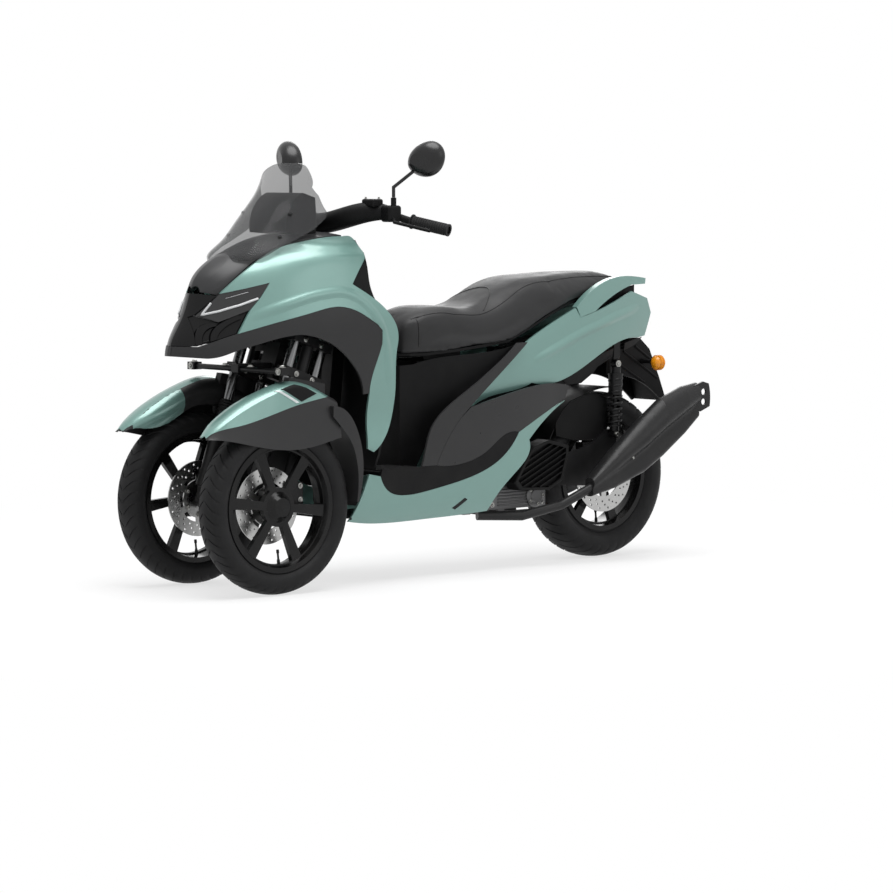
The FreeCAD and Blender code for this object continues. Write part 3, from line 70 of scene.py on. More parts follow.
class Finish:
    """One material: its shader's constants, and the fields that feed it."""

    def __init__(self, name, color, roughness, **constants):
        self.material = bpy.data.materials.new(name)
        self.material.use_nodes = True
        self.tree = self.material.node_tree
        self.shader = self.tree.nodes["Principled BSDF"]
        self.shader.inputs["Base Color"].default_value = (*color, 1.0)
        self.shader.inputs["Roughness"].default_value = roughness
        for key, value in constants.items():
            self.shader.inputs[key.replace("_", " ")].default_value = value
        self.color = color
        self.roughness = roughness

    def feed(self, slot, value):
        if isinstance(value, Field):
            self.tree.links.new(value.socket, slot)
        else:
            slot.default_value = value

    def node(self, kind, output=0, inputs=(), **settings):
        """Any other node: its settings first, then its sockets by name or index."""
        made = self.tree.nodes.new("ShaderNode" + kind)
        for key, value in settings.items():
            setattr(made, key, value)
        for key, value in dict(inputs).items():
            self.feed(made.inputs[key], value)
        return Field(self, made.outputs[output])

    def place(self):
        return self.node("TexCoord", "Object")

    def noise(self, scale, detail=3.0):
        inputs = {"Vector": self.place(), "Scale": scale, "Detail": detail}
        return self.node("TexNoise", "Fac", inputs)

    def ramp(self, value, low, high, to_low=0.0, to_high=1.0):
        inputs = {"Value": value, 1: low, 2: high, 3: to_low, 4: to_high}
        return self.node("MapRange", 0, inputs, clamp=True)

    def mix(self, share, first, second):
        inputs = {0: share}
        for index, value in ((6, first), (7, second)):
            inputs[index] = value if isinstance(value, Field) else (*value, 1.0)
        return self.node("Mix", 2, inputs, data_type="RGBA")

    def use(self, **fields):
        for key, value in fields.items():
            self.feed(self.shader.inputs[key.replace("_", " ")], value)
        return self

    def uneven(self, scale, spread):
        """Roughness that wanders a little either side of its plain value."""
        low, high = self.roughness - spread, self.roughness + spread
        return self.use(Roughness=self.ramp(self.noise(scale), 0.3, 0.7, low, high))

    def bump(self, height, strength, distance):
        inputs = {"Height": height, "Strength": strength, "Distance": distance}
        return self.use(Normal=self.node("Bump", "Normal", inputs))

    def dusty(self, most):
        """A film of road dust that thins out upwards."""
        dust = (0.20, 0.19, 0.175)
        height = self.node("SeparateXYZ", 2, {0: self.place()})
        low = self.ramp(height, 0.04, 0.60, most, 0.0)
        patch = self.ramp(self.noise(9.0, 5.0), 0.38, 0.75)
        return self.use(Base_Color=self.mix(low * patch, self.color, dust))


def coated_metal(name, color, roughness, metallic, grain, depth=0.2):
    """Metal, bare or painted, with the fine orange peel of its surface."""
    finish = Finish(name, color, roughness, Metallic=metallic, Specular_IOR_Level=0.22)
    finish.dusty(0.06).uneven(31.0, 0.06)
    return finish.bump(finish.noise(grain), depth, 0.0003)


def dress(finish, *names):
    """Give carried-over solids their finish, smooth but for real edges."""
    edge = math.radians(28)
    for name in names:
        mesh = nodes[name].data
        mesh.materials.clear()
        mesh.materials.append(finish.material)
        mesh.polygons.foreach_set("use_smooth", [True] * len(mesh.polygons))
        mesh.set_sharp_from_angle(angle=edge)


ORIGIN_BEHIND = 735


def at(x, behind, z):
    """A point in metres, from millimetres across, behind the front axle and up."""
    return Vector((x / 1000, (behind - ORIGIN_BEHIND) / 1000, z / 1000))


def add_piece(obj, finish, body, slot, *replaced):
    """Give a new piece its finish, and tie it to its body. Its slot is not used."""
    if obj.name not in scene.objects:
        scene.collection.objects.link(obj)
    obj.data.materials.clear()
    obj.data.materials.append(finish.material)
    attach(obj, body)
    if replaced:
        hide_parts(*replaced)


def from_bmesh(name, shape, sharp=35):
    """An object from mesh code, with smooth shading broken at sharp edges."""
    bmesh.ops.remove_doubles(shape, verts=shape.verts, dist=1e-6)
    bmesh.ops.recalc_face_normals(shape, faces=shape.faces)
    mesh = bpy.data.meshes.new(name)
    shape.to_mesh(mesh)
    shape.free()
    mesh.polygons.foreach_set("use_smooth", [True] * len(mesh.polygons))
    mesh.set_sharp_from_angle(angle=math.radians(sharp))
    return bpy.data.objects.new(name, mesh)


def turned(shape, profile, start, axis, steps=28):
    """Turn (along, radius) points in metres about an axis into a mesh."""
    turn = Vector(axis).to_track_quat("Z", "Y")
    rows = []
    for along, radius in profile:
        count = steps if radius else 1
        rows.append([shape.verts.new(start + turn @ Vector((
            radius * math.cos(math.tau * k / count), radius * math.sin(math.tau * k / count),
            along))) for k in range(count)])
    for low, high in zip(rows, rows[1:]):
        for k in range(steps):
            ring = [low[k % len(low)], low[(k + 1) % steps % len(low)],
                    high[(k + 1) % steps % len(high)], high[k % len(high)]]
            ring = list(dict.fromkeys(ring))
            if len(ring) > 2:
                shape.faces.new(ring)


def bolts(name, finish, body, slot, spots, radius=0.0055):
    """Flanged hexagon bolts; each spot is a place and the way its head points."""
    shape = bmesh.new()
    for place, way in spots:
        turned(shape, [(0, 0), (0, radius * 1.5), (0.0014, radius * 1.5), (0.0018, radius * 1.2),
                       (0.002, 0)], place, way, 20)
        turned(shape, [(0.0015, 0), (0.0015, radius), (0.0052, radius), (0.006, radius * 0.85),
                       (0.006, radius * 0.5), (0.0045, radius * 0.42), (0.0045, 0)],
               place, way, 6)
    add_piece(from_bmesh(name, shape, 20), finish, body, slot)


satin_black = coated_metal("satin_black_metal", (0.007, 0.007, 0.0075), 0.40, 0.0, 600.0)
zinc = coated_metal("zinc_plated_steel", (0.36, 0.36, 0.345), 0.30, 1.0, 900.0)
dress(satin_black, "frame", "tilt_linkage")

LINK_END = 205
LINK_PIVOT = 60
link_spots = []
for sign in (-1, 1):
    link_spots += [(at(LINK_END * sign, 8, 633), (0, -1, 0)),
                   (at(LINK_END * sign, 22, 644), (0, 0, 1))]
for sign in (-1, 1):
    link_spots.append((at(LINK_PIVOT * sign, 22, 640), (0, 0, 1)))
bolts("linkage_bolts", zinc, "chassis", "black_metal", link_spots, 0.007)


# Front legs: on each side two telescopic tubes carry the wheel on a cast lower leg.
# The tubes are chromed, the casting is black, and rubber boots close the sliders.

SIDES = (("left", 1), ("right", -1))
RAKE = math.radians(20)
TRAIL = 68
LEG_WAY = Vector((0, math.sin(RAKE), math.cos(RAKE)))
LEG_ACROSS = 118
TUBE_OFFSET = 50
TUBE_RADIUS = 0.0153
BOOT_LEVEL = 524
CAP_LEVEL = 765
CLAMP_LEVELS = (648, 752)
CLAMP_OFFSET = 30
CLAMP_HALF = 21.2


def on_leg(x, level, behind):
    """A point by its level along a steering axis and its distance behind it, in mm."""
    back = behind * math.cos(RAKE) + level * math.sin(RAKE) - TRAIL
    return at(x, back, level * math.cos(RAKE) - behind * math.sin(RAKE))


chrome = Finish("chrome_tube", (0.17, 0.172, 0.175), 0.22, Metallic=1.0)
chrome.uneven(60.0, 0.04)
boot_rubber = Finish("boot_rubber", (0.006, 0.006, 0.0065), 0.62, Specular_IOR_Level=0.3)
boot_rubber.uneven(40.0, 0.08)
dress(satin_black, "fork_left", "fork_right")
for side, sign in SIDES:
    tubes, boots, tops = bmesh.new(), bmesh.new(), bmesh.new()
    for behind in (-TUBE_OFFSET, TUBE_OFFSET):
        start = on_leg(LEG_ACROSS * sign, BOOT_LEVEL, behind)
        for low, high in ((0, 0.110), (0.138, 0.2145)):
            turned(tubes, [(low, TUBE_RADIUS), (high, TUBE_RADIUS)], start, LEG_WAY)
        folds = [(-0.010, 0.0212), (-0.010, 0.0235)]
        folds += [(0.004 * k, 0.0215 if k % 2 else 0.0185) for k in range(7)]
        turned(boots, folds + [(0.027, 0.0154)], start, LEG_WAY)
        cap = on_leg(LEG_ACROSS * sign, CAP_LEVEL, behind)
        turned(tops, [(0, 0.0165), (0.013, 0.0165), (0.015, 0.0145), (0.015, 0.009),
                      (0.011, 0.008), (0.011, 0)], cap, LEG_WAY)
    for shape, name, finish in ((tubes, "slider_tubes_", chrome), (boots, "boots_", boot_rubber),
                                (tops, "top_caps_", zinc)):
        add_piece(from_bmesh(name + side, shape), finish, side + "_leg", "black_metal")
    clamp_spots = [(on_leg(LEG_ACROSS * sign + CLAMP_HALF * face, level, behind), (face, 0, 0))
                   for level in CLAMP_LEVELS for face in (-1, 1)
                   for behind in (-CLAMP_OFFSET, CLAMP_OFFSET)]
    bolts("clamp_bolts_" + side, zinc, side + "_leg", "black_metal", clamp_spots)


# Wheels: cast six-spoke rims under tubeless tyres, with a valve by one spoke. The
# tread is cut with slanting grooves that run out over the shoulders.

tyre_rubber = Finish("tyre_rubber", (0.008, 0.008, 0.0085), 0.60, Specular_IOR_Level=0.22)
tyre_rubber.uneven(18.0, 0.08).bump(tyre_rubber.noise(260.0, 4.0), 0.25, 0.0004)
rim_black = coated_metal("rim_paint", (0.003, 0.003, 0.0033), 0.20, 0.0, 350.0, 0.05)
dress(rim_black, "rim_front_left", "rim_front_right", "rim_rear")

# Half the track and the wheelbase in millimetres; each tyre's radius, half width, rim radius
# and half width at the bead in metres; and one groove, as shares of its pitch and depth.
HALF_TRACK = 192.5
WHEELBASE = 1410
FRONT_TYRE = (0.250, 0.045, 0.1778, 0.0287)
REAR_TYRE = (0.256, 0.065, 0.1651, 0.0447)
GROOVE = [(0.0, 0.0), (0.03, 1.0), (0.13, 1.0), (0.16, 0.0), (0.58, 0.0)]
GROOVE_DEPTH = 0.0024
HUBS = {"front_left": at(HALF_TRACK, 0, FRONT_TYRE[0] * 1000),
        "front_right": at(-HALF_TRACK, 0, FRONT_TYRE[0] * 1000),
        "rear": at(0, WHEELBASE, REAR_TYRE[0] * 1000)}


def bridge(shape, low, high):
    """Faces between two rings of as many points."""
    count = len(low)
    for k in range(count):
        n = (k + 1) % count
        shape.faces.new((low[k], low[n], high[n], high[k]))


def tread_tyre(wheel, size, pitches, slant):
    """A tyre whose mesh follows the slant of its grooves."""
    centre = HUBS[wheel]
    radius, half, rim, bead = size
    wall = radius - rim
    side = [(bead, 0.005), (bead + 0.001, 0.15), (0.84 * half, 0.23), (0.93 * half, 0.31),
            (0.95 * half, 0.33), (0.99 * half, 0.42), (half, 0.53), (0.975 * half, 0.65),
            (0.91 * half, 0.76), (0.80 * half, 0.855), (0.66 * half, 0.92), (0.48 * half, 0.962),
            (0.30 * half, 0.986), (0.14 * half, 0.997), (0.05 * half, 1.0)]
    profile = side + [(-x, high) for x, high in reversed(side)]
    shape = bmesh.new()
    rings = []
    for x, high in profile:
        share = abs(x) / half
        cut = GROOVE_DEPTH * (0.12 < share < 0.93) * (high > 0.7)
        ring = []
        for pitch in range(pitches):
            for part, sunk in GROOVE:
                turn = math.tau * (pitch + part) / pitches + slant * share
                r = rim + wall * high - cut * sunk
                ring.append(shape.verts.new(centre + Vector((x, r * math.cos(turn),
                                                             r * math.sin(turn)))))
        rings.append(ring)
    for low, high in zip(rings, rings[1:] + rings[:1]):
        bridge(shape, low, high)
    add_piece(from_bmesh("tyre_" + wheel + "_tread", shape, 40), tyre_rubber, wheel + "_wheel",
              "tyre", "tyre_" + wheel)


for side, sign in SIDES:
    tread_tyre("front_" + side, FRONT_TYRE, 44, 0.17 * sign)
tread_tyre("rear", REAR_TYRE, 40, 0.2)

disc_steel = Finish("disc_steel", (0.46, 0.46, 0.455), 0.30, Metallic=1.0)
disc_steel.uneven(45.0, 0.06).bump(disc_steel.noise(800.0), 0.12, 0.0002)
dress(disc_steel, "disc_front_left", "disc_front_right", "disc_rear")
DISC_BOLTS = 6
DISC_BOLT_RING = 0.046
DISC_BOLT_FACE = 0.0351
VALVE_WAY = Vector((0, 0.10, -1)).normalized()

# The front discs are bolted on from the inner side. At the rear no such bolts show.
for wheel, inward, rim_reach in (("front_left", -1, 0.168), ("front_right", 1, 0.168),
                                 ("rear", 0, 0.155)):
    stem = bmesh.new()
    turned(stem, [(0.006, 0), (0.006, 0.0055), (-0.014, 0.0045), (-0.018, 0.003),
                  (-0.034, 0.003), (-0.034, 0.0042), (-0.044, 0.0042), (-0.044, 0)],
           HUBS[wheel] + VALVE_WAY * rim_reach, VALVE_WAY, 16)
    add_piece(from_bmesh("valve_" + wheel, stem), boot_rubber, wheel + "_wheel", "tyre")
    if inward:
        turns = [math.tau * (k + 0.5) / DISC_BOLTS for k in range(DISC_BOLTS)]
        bolts("disc_bolts_" + wheel, zinc, wheel + "_wheel", "steel",
              [(HUBS[wheel] + Vector((inward * DISC_BOLT_FACE, DISC_BOLT_RING * math.cos(turn),
                                      DISC_BOLT_RING * math.sin(turn))), (inward, 0, 0))
               for turn in turns])

caliper_black = coated_metal("caliper_paint", (0.008, 0.008, 0.0085), 0.35, 0.0, 500.0)
dress(caliper_black, "caliper_left", "caliper_right", "caliper_rear")
for side, sign in SIDES:
    bolts("caliper_bolts_" + side, zinc, side + "_leg", "black_metal",
          [(at(172.6 * sign, 112, z), (sign, 0, 0)) for z in (262, 302)])


# Fenders: moulded shells bolted to the legs, painted mint on top and dark grey on the skirt,
# with a dark plate let into the top of each and a pale painted highlight line at its front edge.

def paint(name, color, roughness, **constants):
    """Sprayed paint with a faint orange peel."""
    finish = Finish(name, color, roughness, **constants)
    finish.dusty(0.05).uneven(14.0, 0.04)
    return finish.bump(finish.noise(420.0, 1.0), 0.05, 0.0004)


def skin_of(obj):
    """The surface of a shown object, to lay other pieces on."""
    mesh = obj.evaluated_get(bpy.context.evaluated_depsgraph_get()).data
    place = obj.matrix_world
    return BVHTree.FromPolygons([place @ v.co for v in mesh.vertices],
                                [tuple(p.vertices) for p in mesh.polygons])


def handed(points, sign):
    """Places on the left side, given in millimetres, or their mirror image."""
    return [at(x * sign, behind, z) for x, behind, z in points]


CLEAR = 0.5


def laid_grid(name, skin, rows, way, thick, sharp=35):
    """A skin laid on a surface; rows hold pairs of a start point and its lift."""
    way = Vector(way).normalized()
    shape = bmesh.new()
    grid = []
    last = skin.find_nearest(rows[0][0][0])[0]
    for row in rows:
        grid.append([])
        for start, lift in row:
            place, normal, _, _ = skin.ray_cast(start - way * CLEAR, way)
            if place is None:
                level = start - way * (start - last).dot(way)
                place, normal, _, _ = skin.find_nearest(level)
            last = place
            if normal.dot(way) > 0:
                normal = -normal
            grid[-1].append((shape.verts.new(place + normal * lift),
                             shape.verts.new(place + normal * (lift - thick))))
    long, wide = len(grid) - 1, len(grid[0]) - 1
    for i in range(long):
        for j in range(wide):
            for k in (0, 1):
                shape.faces.new((grid[i][j][k], grid[i + 1][j][k], grid[i + 1][j + 1][k],
                                 grid[i][j + 1][k]))
    edge = [grid[i][0] for i in range(long)] + [grid[long][j] for j in range(wide)]
    edge += [grid[i][wide] for i in range(long, 0, -1)]
    edge += [grid[0][j] for j in range(wide, 0, -1)]
    for (p, q), (r, s) in zip(edge, edge[1:] + edge[:1]):
        shape.faces.new((p, r, s, q))
    return from_bmesh(name, shape, sharp)


def laid_patch(name, skin, corners, way, lift, thick, steps):
    """A thin plate laid on a surface, between four corners seen along one way."""
    a, b, c, d = corners
    rows = []
    for i in range(steps[0] + 1):
        u = i / steps[0]
        low, high = a * (1 - u) + b * u, d * (1 - u) + c * u
        rows.append([(low.lerp(high, j / steps[1]), lift) for j in range(steps[1] + 1)])
    return laid_grid(name, skin, rows, way, thick)


def swage(name, skin, line, half, crown, way):
    """A soft raised line along a panel, between edges that sink into it."""
    across, along = 8, 48
    passes, taper, sunk = 6, 5, 0.0004
    lengths = [0.0]
    for low, high in zip(line, line[1:]):
        lengths.append(lengths[-1] + (high - low).length)
    spots = []
    for k in range(along + 1):
        reach = lengths[-1] * k / along
        span = next(i for i in range(1, len(line)) if reach <= lengths[i] + 1e-9)
        share = (reach - lengths[span - 1]) / (lengths[span] - lengths[span - 1])
        spots.append(line[span - 1].lerp(line[span], share))
    for _ in range(passes):
        spots[1:-1] = [(a + b * 2 + c) / 4 for a, b, c in zip(spots, spots[1:], spots[2:])]
    rows = []
    for k, spot in enumerate(spots):
        run = spots[min(k + 1, along)] - spots[max(k - 1, 0)]
        side = run.cross(Vector(way)).normalized()
        end = math.sin(math.pi / 2 * min(1.0, taper * k / along, taper * (along - k) / along))
        shares = [2 * j / across - 1 for j in range(across + 1)]
        rows.append([(spot + side * half * share,
                      crown * end * math.cos(math.pi / 2 * share) ** 2 - sunk)
                     for share in shares])
    return laid_grid(name, skin, rows, way, 0.003 + crown, 60)


def snapped(skin, point, lift=0.0):
    """The nearest place on a surface to a point, and the way out of it there."""
    place, normal, _, _ = skin.find_nearest(point)
    if normal.dot(Vector((point.x, 0, 0))) < 0:
        normal = -normal
    return place + normal * lift, normal


mint = paint("mint_paint", (0.160, 0.292, 0.262), 0.34, Metallic=0.35, Coat_Weight=0.55,
             Coat_Roughness=0.12)
dark_grey = paint("grey_paint", (0.018, 0.018, 0.0187), 0.46, Specular_IOR_Level=0.30)
moulded = Finish("moulded_black", (0.003, 0.003, 0.0033), 0.52, Specular_IOR_Level=0.15)
moulded.dusty(0.05).uneven(23.0, 0.06).bump(moulded.noise(1300.0, 2.0), 0.22, 0.0003)
# A pale paint that stands in for light: the painted highlight line along the front edge of each
# fender's dark inset.
highlight_strip_paint = paint("highlight_strip_paint", (0.62, 0.66, 0.66), 0.30)
dress(mint, "fender_left", "fender_right")
dress(dark_grey, "fender_skirt_left", "fender_skirt_right")

# Each column of the lining spans the heights at which a ray, sent outwards from between the
# legs, meets the skirt's front before it has gone past it.
LINING_X = 60
LINING_REACH = 0.128
LINING_COLUMNS = [-244 + 7.6 * k for k in range(25)]
LINING_HEIGHTS = range(430, 612, 2)
LINING_STEPS = 10
INSET = [(230, -5, 583), (224, 48, 595), (234, 122, 567), (239, 64, 547)]
# Corners of the painted highlight line: a pale strip along the inset's front edge.
HIGHLIGHT_STRIP_CORNERS = [(229, -26, 579), (229, -16, 581), (239, 55, 545), (239, 45, 543)]
for side, sign in SIDES:
    inner = skin_of(nodes["fender_skirt_" + side])
    rows = []
    for behind in LINING_COLUMNS:
        met = []
        for z in LINING_HEIGHTS:
            depth = inner.ray_cast(at(LINING_X * sign, behind, z), Vector((sign, 0, 0)))[3]
            if depth and depth < LINING_REACH:
                met.append(z)
        if len(met) > 4:
            rise = (met[-1] - met[0]) / LINING_STEPS
            rows.append([(at(LINING_X * sign, behind, met[0] + rise * j), 0.0008)
                         for j in range(LINING_STEPS + 1)])
    lining = laid_grid("fender_face_" + side, inner, rows, (sign, 0, 0), 0.0014)
    add_piece(lining, mint, side + "_leg", "mint_paint")
    shell = skin_of(nodes["fender_" + side])
    slope = (-0.75 * sign, 0, -0.66)
    inset = laid_patch("fender_inset_" + side, shell, handed(INSET, sign), slope, 0.0012, 0.003,
                       (12, 12))
    add_piece(inset, moulded, side + "_leg", "grey_paint")
    # The pale strip is a painted highlight line along the inset's front edge.
    glint_strip = laid_patch("fender_highlight_strip_" + side, shell, handed(HIGHLIGHT_STRIP_CORNERS, sign), slope, 0.0014, 0.003,
                      (2, 12))
    add_piece(glint_strip, highlight_strip_paint, side + "_leg", "mint_paint")


# Steering: a handlebar under a moulded cover, with ribbed rubber grips, and mirrors on
# bent stalks whose glass is let into the housings and faces backwards.

def wire(name, points, radius, cyclic=False):
    """A round bar or wire through points."""
    curve = bpy.data.curves.new(name, "CURVE")
    curve.dimensions = "3D"
    curve.bevel_depth = radius
    curve.bevel_resolution = 3
    curve.use_fill_caps = True
    run = curve.splines.new("POLY")
    run.points.add(len(points) - 1)
    for spot, point in zip(run.points, points):
        spot.co = (*point, 1.0)
    run.use_cyclic_u = cyclic
    run.use_smooth = True
    return bpy.data.objects.new(name, curve)


grip_rubber = Finish("grip_rubber", (0.008, 0.008, 0.0085), 0.72, Specular_IOR_Level=0.3)
grip_rubber.uneven(30.0, 0.06).bump(grip_rubber.noise(700.0), 0.4, 0.0003)
mirror_black = Finish("mirror_black", (0.006, 0.006, 0.0065), 0.30, Specular_IOR_Level=0.4)
mirror_black.uneven(25.0, 0.05)
silvered = Finish("mirror_glass", (0.88, 0.89, 0.90), 0.02, Metallic=1.0)
silvered.uneven(8.0, 0.01)
dress(moulded, "handlebar")
dress(satin_black, "tie_rod")
dress(mirror_black, "mirrors")
GRIP_ENDS = [(262, 450, 1052), (369, 497, 1028)]
GRIP_RIBS = 14
RIB_PITCH = 0.0075
GLASS = [(-50, -16), (-39, 19), (-10, 41), (25, 45), (49, 21), (44, -17), (14, -41), (-26, -40)]
GLASS_PLACE = (314, 478.4, 1230)
GLASS_TURN = 0.15
LID_SCREWS = [(158, 368, 1116.2), (188, 392, 1116.2)]
for side, sign in SIDES:
    start, end = handed(GRIP_ENDS, sign)
    way = (end - start).normalized()
    profile = [(0.0035, 0.0112), (0.0035, 0.0215), (0.0065, 0.0215), (0.0065, 0.0165)]
    for k in range(GRIP_RIBS):
        along = 0.010 + RIB_PITCH * k
        profile += [(along, 0.0165), (along + 0.001, 0.0178), (along + 0.005, 0.0178),
                    (along + 0.006, 0.0165)]
    profile += [(0.1205, 0.0182), (0.1235, 0.0182), (0.1235, 0.0112)]
    grip = bmesh.new()
    turned(grip, profile, start, way)
    add_piece(from_bmesh("grip_" + side, grip), grip_rubber, "steering", "grip_rubber", "grips")
    x0, behind0, z0 = GLASS_PLACE
    rim_points = [at((x0 + x) * sign, behind0 + GLASS_TURN * x, z0 + z) for x, z in GLASS]
    shape = bmesh.new()
    middle = shape.verts.new(sum(rim_points, Vector()) / len(rim_points))
    ring = [shape.verts.new(point) for point in rim_points]
    for k, spot in enumerate(ring):
        shape.faces.new((middle, spot, ring[(k + 1) % len(ring)]))
    glass = from_bmesh("mirror_glass_" + side, shape)
    glass.modifiers.new("round", "SUBSURF").levels = 2
    glass.modifiers["round"].render_levels = 2
    glass.modifiers.new("thick", "SOLIDIFY").thickness = 0.001
    add_piece(glass, silvered, "steering", "gloss_black")
    screws = [(place, (0, 0, 1)) for place in handed(LID_SCREWS, sign)]
    bolts("reservoir_screws_" + side, zinc, "steering", "black_metal", screws, 0.003)


# Front body: moulded cowls snapped and screwed to the frame, mint above and dark grey
# below, with the lamps, the gloss intake and a smoked screen held by four screws.

gloss_black = Finish("gloss_black", (0.003, 0.003, 0.0033), 0.24, Specular_IOR_Level=0.22)
gloss_black.uneven(20.0, 0.04)
hood_grey = paint("hood_plastic", (0.024, 0.0243, 0.0255), 0.38, Specular_IOR_Level=0.35)
lens = Finish("lamp_lens", (0.016, 0.0165, 0.017), 0.10, Specular_IOR_Level=0.5)
lens.uneven(12.0, 0.02)
lit_line = Finish("lamp_line", (0.62, 0.63, 0.64), 0.25)
lit_line.uneven(30.0, 0.03)
smoked = Finish("smoked_screen", (0.07, 0.071, 0.073), 0.08, Alpha=0.46, IOR=1.2)
smoked.uneven(6.0, 0.02)
dress(mint, "front_cowl")
dress(dark_grey, "lower_cowl")
dress(hood_grey, "upper_cowl")
dress(gloss_black, "nose_panel")
dress(lens, "headlamps")
dress(smoked, "windscreen")
dress(moulded, "dash", "leg_shield", "wheel_liner")

LIGHT_LINE = [(66, -124, 826), (52, -147, 791), (88, -111, 803), (121, -63, 820),
              (144, -16, 838)]
LINE_LIFT = 0.0006
LAMP_BAR = [(92, -92, 838), (128, -38, 856)]
NOSE_SEAL = [(2, -206, 702), (28, -197, 704), (60, -171, 711), (86, -138, 719),
             (102, -107, 727), (121, -74, 737)]
SPAN_STEPS = 8
lamp_skin = skin_of(nodes["headlamps"])
for side, sign in SIDES:
    corners = [snapped(lamp_skin, corner, LINE_LIFT)[0] for corner in handed(LIGHT_LINE, sign)]
    line = [snapped(lamp_skin, low.lerp(high, k / SPAN_STEPS), LINE_LIFT)[0]
            for low, high in zip(corners, corners[1:]) for k in range(SPAN_STEPS)]
    add_piece(wire("light_line_" + side, line + corners[-1:], 0.0032), lit_line, "chassis",
              "lamp_lens", "headlamp_lines")
    low, high = handed(LAMP_BAR, sign)
    bar = [snapped(lamp_skin, low.lerp(high, k / SPAN_STEPS), 0.0002)[0]
           for k in range(SPAN_STEPS + 1)]
    add_piece(wire("lamp_bar_" + side, bar, 0.0014), chrome, "chassis", "lamp_lens")
    seal = wire("nose_seal_" + side, handed(NOSE_SEAL, sign), 0.005)
    add_piece(seal, moulded, "chassis", "gloss_black")

OUTSIDE = 300


def beside(points, sign):
    """Places clear of a side, from which what is laid on its panels is dropped on them."""
    return [at(OUTSIDE * sign, behind, z) for behind, z in points]


LIP = [(-50, 780), (-13, 797), (37, 814), (138, 845), (239, 857), (304, 830), (361, 770),
       (390, 692), (400, 620), (402, 566)]
cowl_skin = skin_of(nodes["front_cowl"])
for side, sign in SIDES:
    lip = swage("cowl_lip_" + side, cowl_skin, beside(LIP, sign), 0.020, 0.0055,
                (-sign, 0, 0))
    add_piece(lip, mint, "chassis", "mint_paint")

AHEAD = -300
screen_skin = skin_of(nodes["windscreen"])
screen_spots = []
for x, z in ((118, 1010), (108, 1075)):
    for sign in (-1, 1):
        place, normal, _, _ = screen_skin.ray_cast(at(x * sign, AHEAD, z), Vector((0, 1, 0)))
        if place is not None:
            screen_spots.append((place, tuple(normal if normal.y < 0 else -normal)))
bolts("screen_screws", satin_black, "chassis", "black_metal", screen_spots, 0.0045)


def facing_back(left, right, top, foot, behind):
    """The corners of an upright rectangle that is seen from the saddle."""
    return [at(x, behind, z) for x, z in ((left, top), (right, top), (right, foot), (left, foot))]


dial = laid_patch("dash_display", skin_of(nodes["dash"]), facing_back(-62, 62, 1104, 1052, 600),
                  (0, -1, 0), 0.0015, 0.003, (4, 4))
add_piece(dial, gloss_black, "chassis", "gloss_black")

AT_SADDLE = 800
shield_skin = skin_of(nodes["leg_shield"])
lid_face = laid_patch("glove_lid", shield_skin, facing_back(-150, -20, 760, 610, AT_SADDLE),
                      (0, -1, 0), 0.003, 0.0045, (6, 6))
add_piece(lid_face, moulded, "chassis", "black_plastic")
key = bmesh.new()
key_place = shield_skin.ray_cast(at(75, AT_SADDLE, 800), Vector((0, -1, 0)))[0]
turned(key, [(-0.004, 0.019), (0.004, 0.019), (0.006, 0.0165), (0.006, 0.008), (0.003, 0.0075),
             (0.003, 0)], key_place, (0, 1, 0))
add_piece(from_bmesh("key_switch", key), satin_black, "chassis", "black_metal")


# Floor and sides: a moulded floor with rubber mats between mint skirts, dark grey side
# covers, and a black tunnel cover with a bag hook below the seat.

side_grey = paint("side_grey", (0.015, 0.015, 0.0157), 0.30, Specular_IOR_Level=0.35)
dress(moulded, "footboard", "centre_cover", "storage_box", "belly_pan")
dress(dark_grey, "centre_strips")
dress(side_grey, "side_covers")
dress(mint, "side_skirts")
mat_rubber = Finish("mat_rubber", (0.010, 0.010, 0.0105), 0.75, Specular_IOR_Level=0.3)
mat_rubber.uneven(35.0, 0.06).bump(mat_rubber.noise(900.0), 0.4, 0.0003)
MAT = [(30, 412, 500), (170, 412, 500), (170, 575, 500), (30, 575, 500)]
RIDGES = 9
RIDGE_PITCH = 17
SLOT = [(672, 205), (716, 234), (728, 228), (686, 200)]
floor_skin = skin_of(nodes["footboard"])
skirt_skin = skin_of(nodes["side_skirts"])
for side, sign in SIDES:
    mat = laid_patch("mat_" + side, floor_skin, handed(MAT, sign), (0, 0, -1), 0.003, 0.003,
                     (4, 4))
    add_piece(mat, mat_rubber, "chassis", "black_plastic")
    ridges = bmesh.new()
    for k in range(RIDGES):
        turned(ridges, [(0, 0), (0, 0.002), (0.120, 0.002), (0.120, 0)],
               at(40 * sign, 424 + RIDGE_PITCH * k, 330), (sign, 0, 0), 8)
    add_piece(from_bmesh("mat_ridges_" + side, ridges), mat_rubber, "chassis", "black_plastic")
    slot = laid_patch("skirt_slot_" + side, skirt_skin, beside(SLOT, sign), (-sign, 0, 0),
                      0.0006, 0.002, (6, 2))
    add_piece(slot, gloss_black, "chassis", "mint_paint")


# Inner liners: thin black plates behind the joints of the side panels, so that no light
# shows through between the covers, the tail and the storage box.

def plate(name, outline, x, thick):
    """A flat plate across the object, from points behind the front axle and up."""
    shape = bmesh.new()
    faces = []
    for depth in (x, x - math.copysign(thick, x)):
        faces.append([shape.verts.new(at(depth, behind, z)) for behind, z in outline])
        shape.faces.new(faces[-1])
    bridge(shape, *faces)
    bmesh.ops.triangulate(shape, faces=shape.faces)
    return from_bmesh(name, shape)


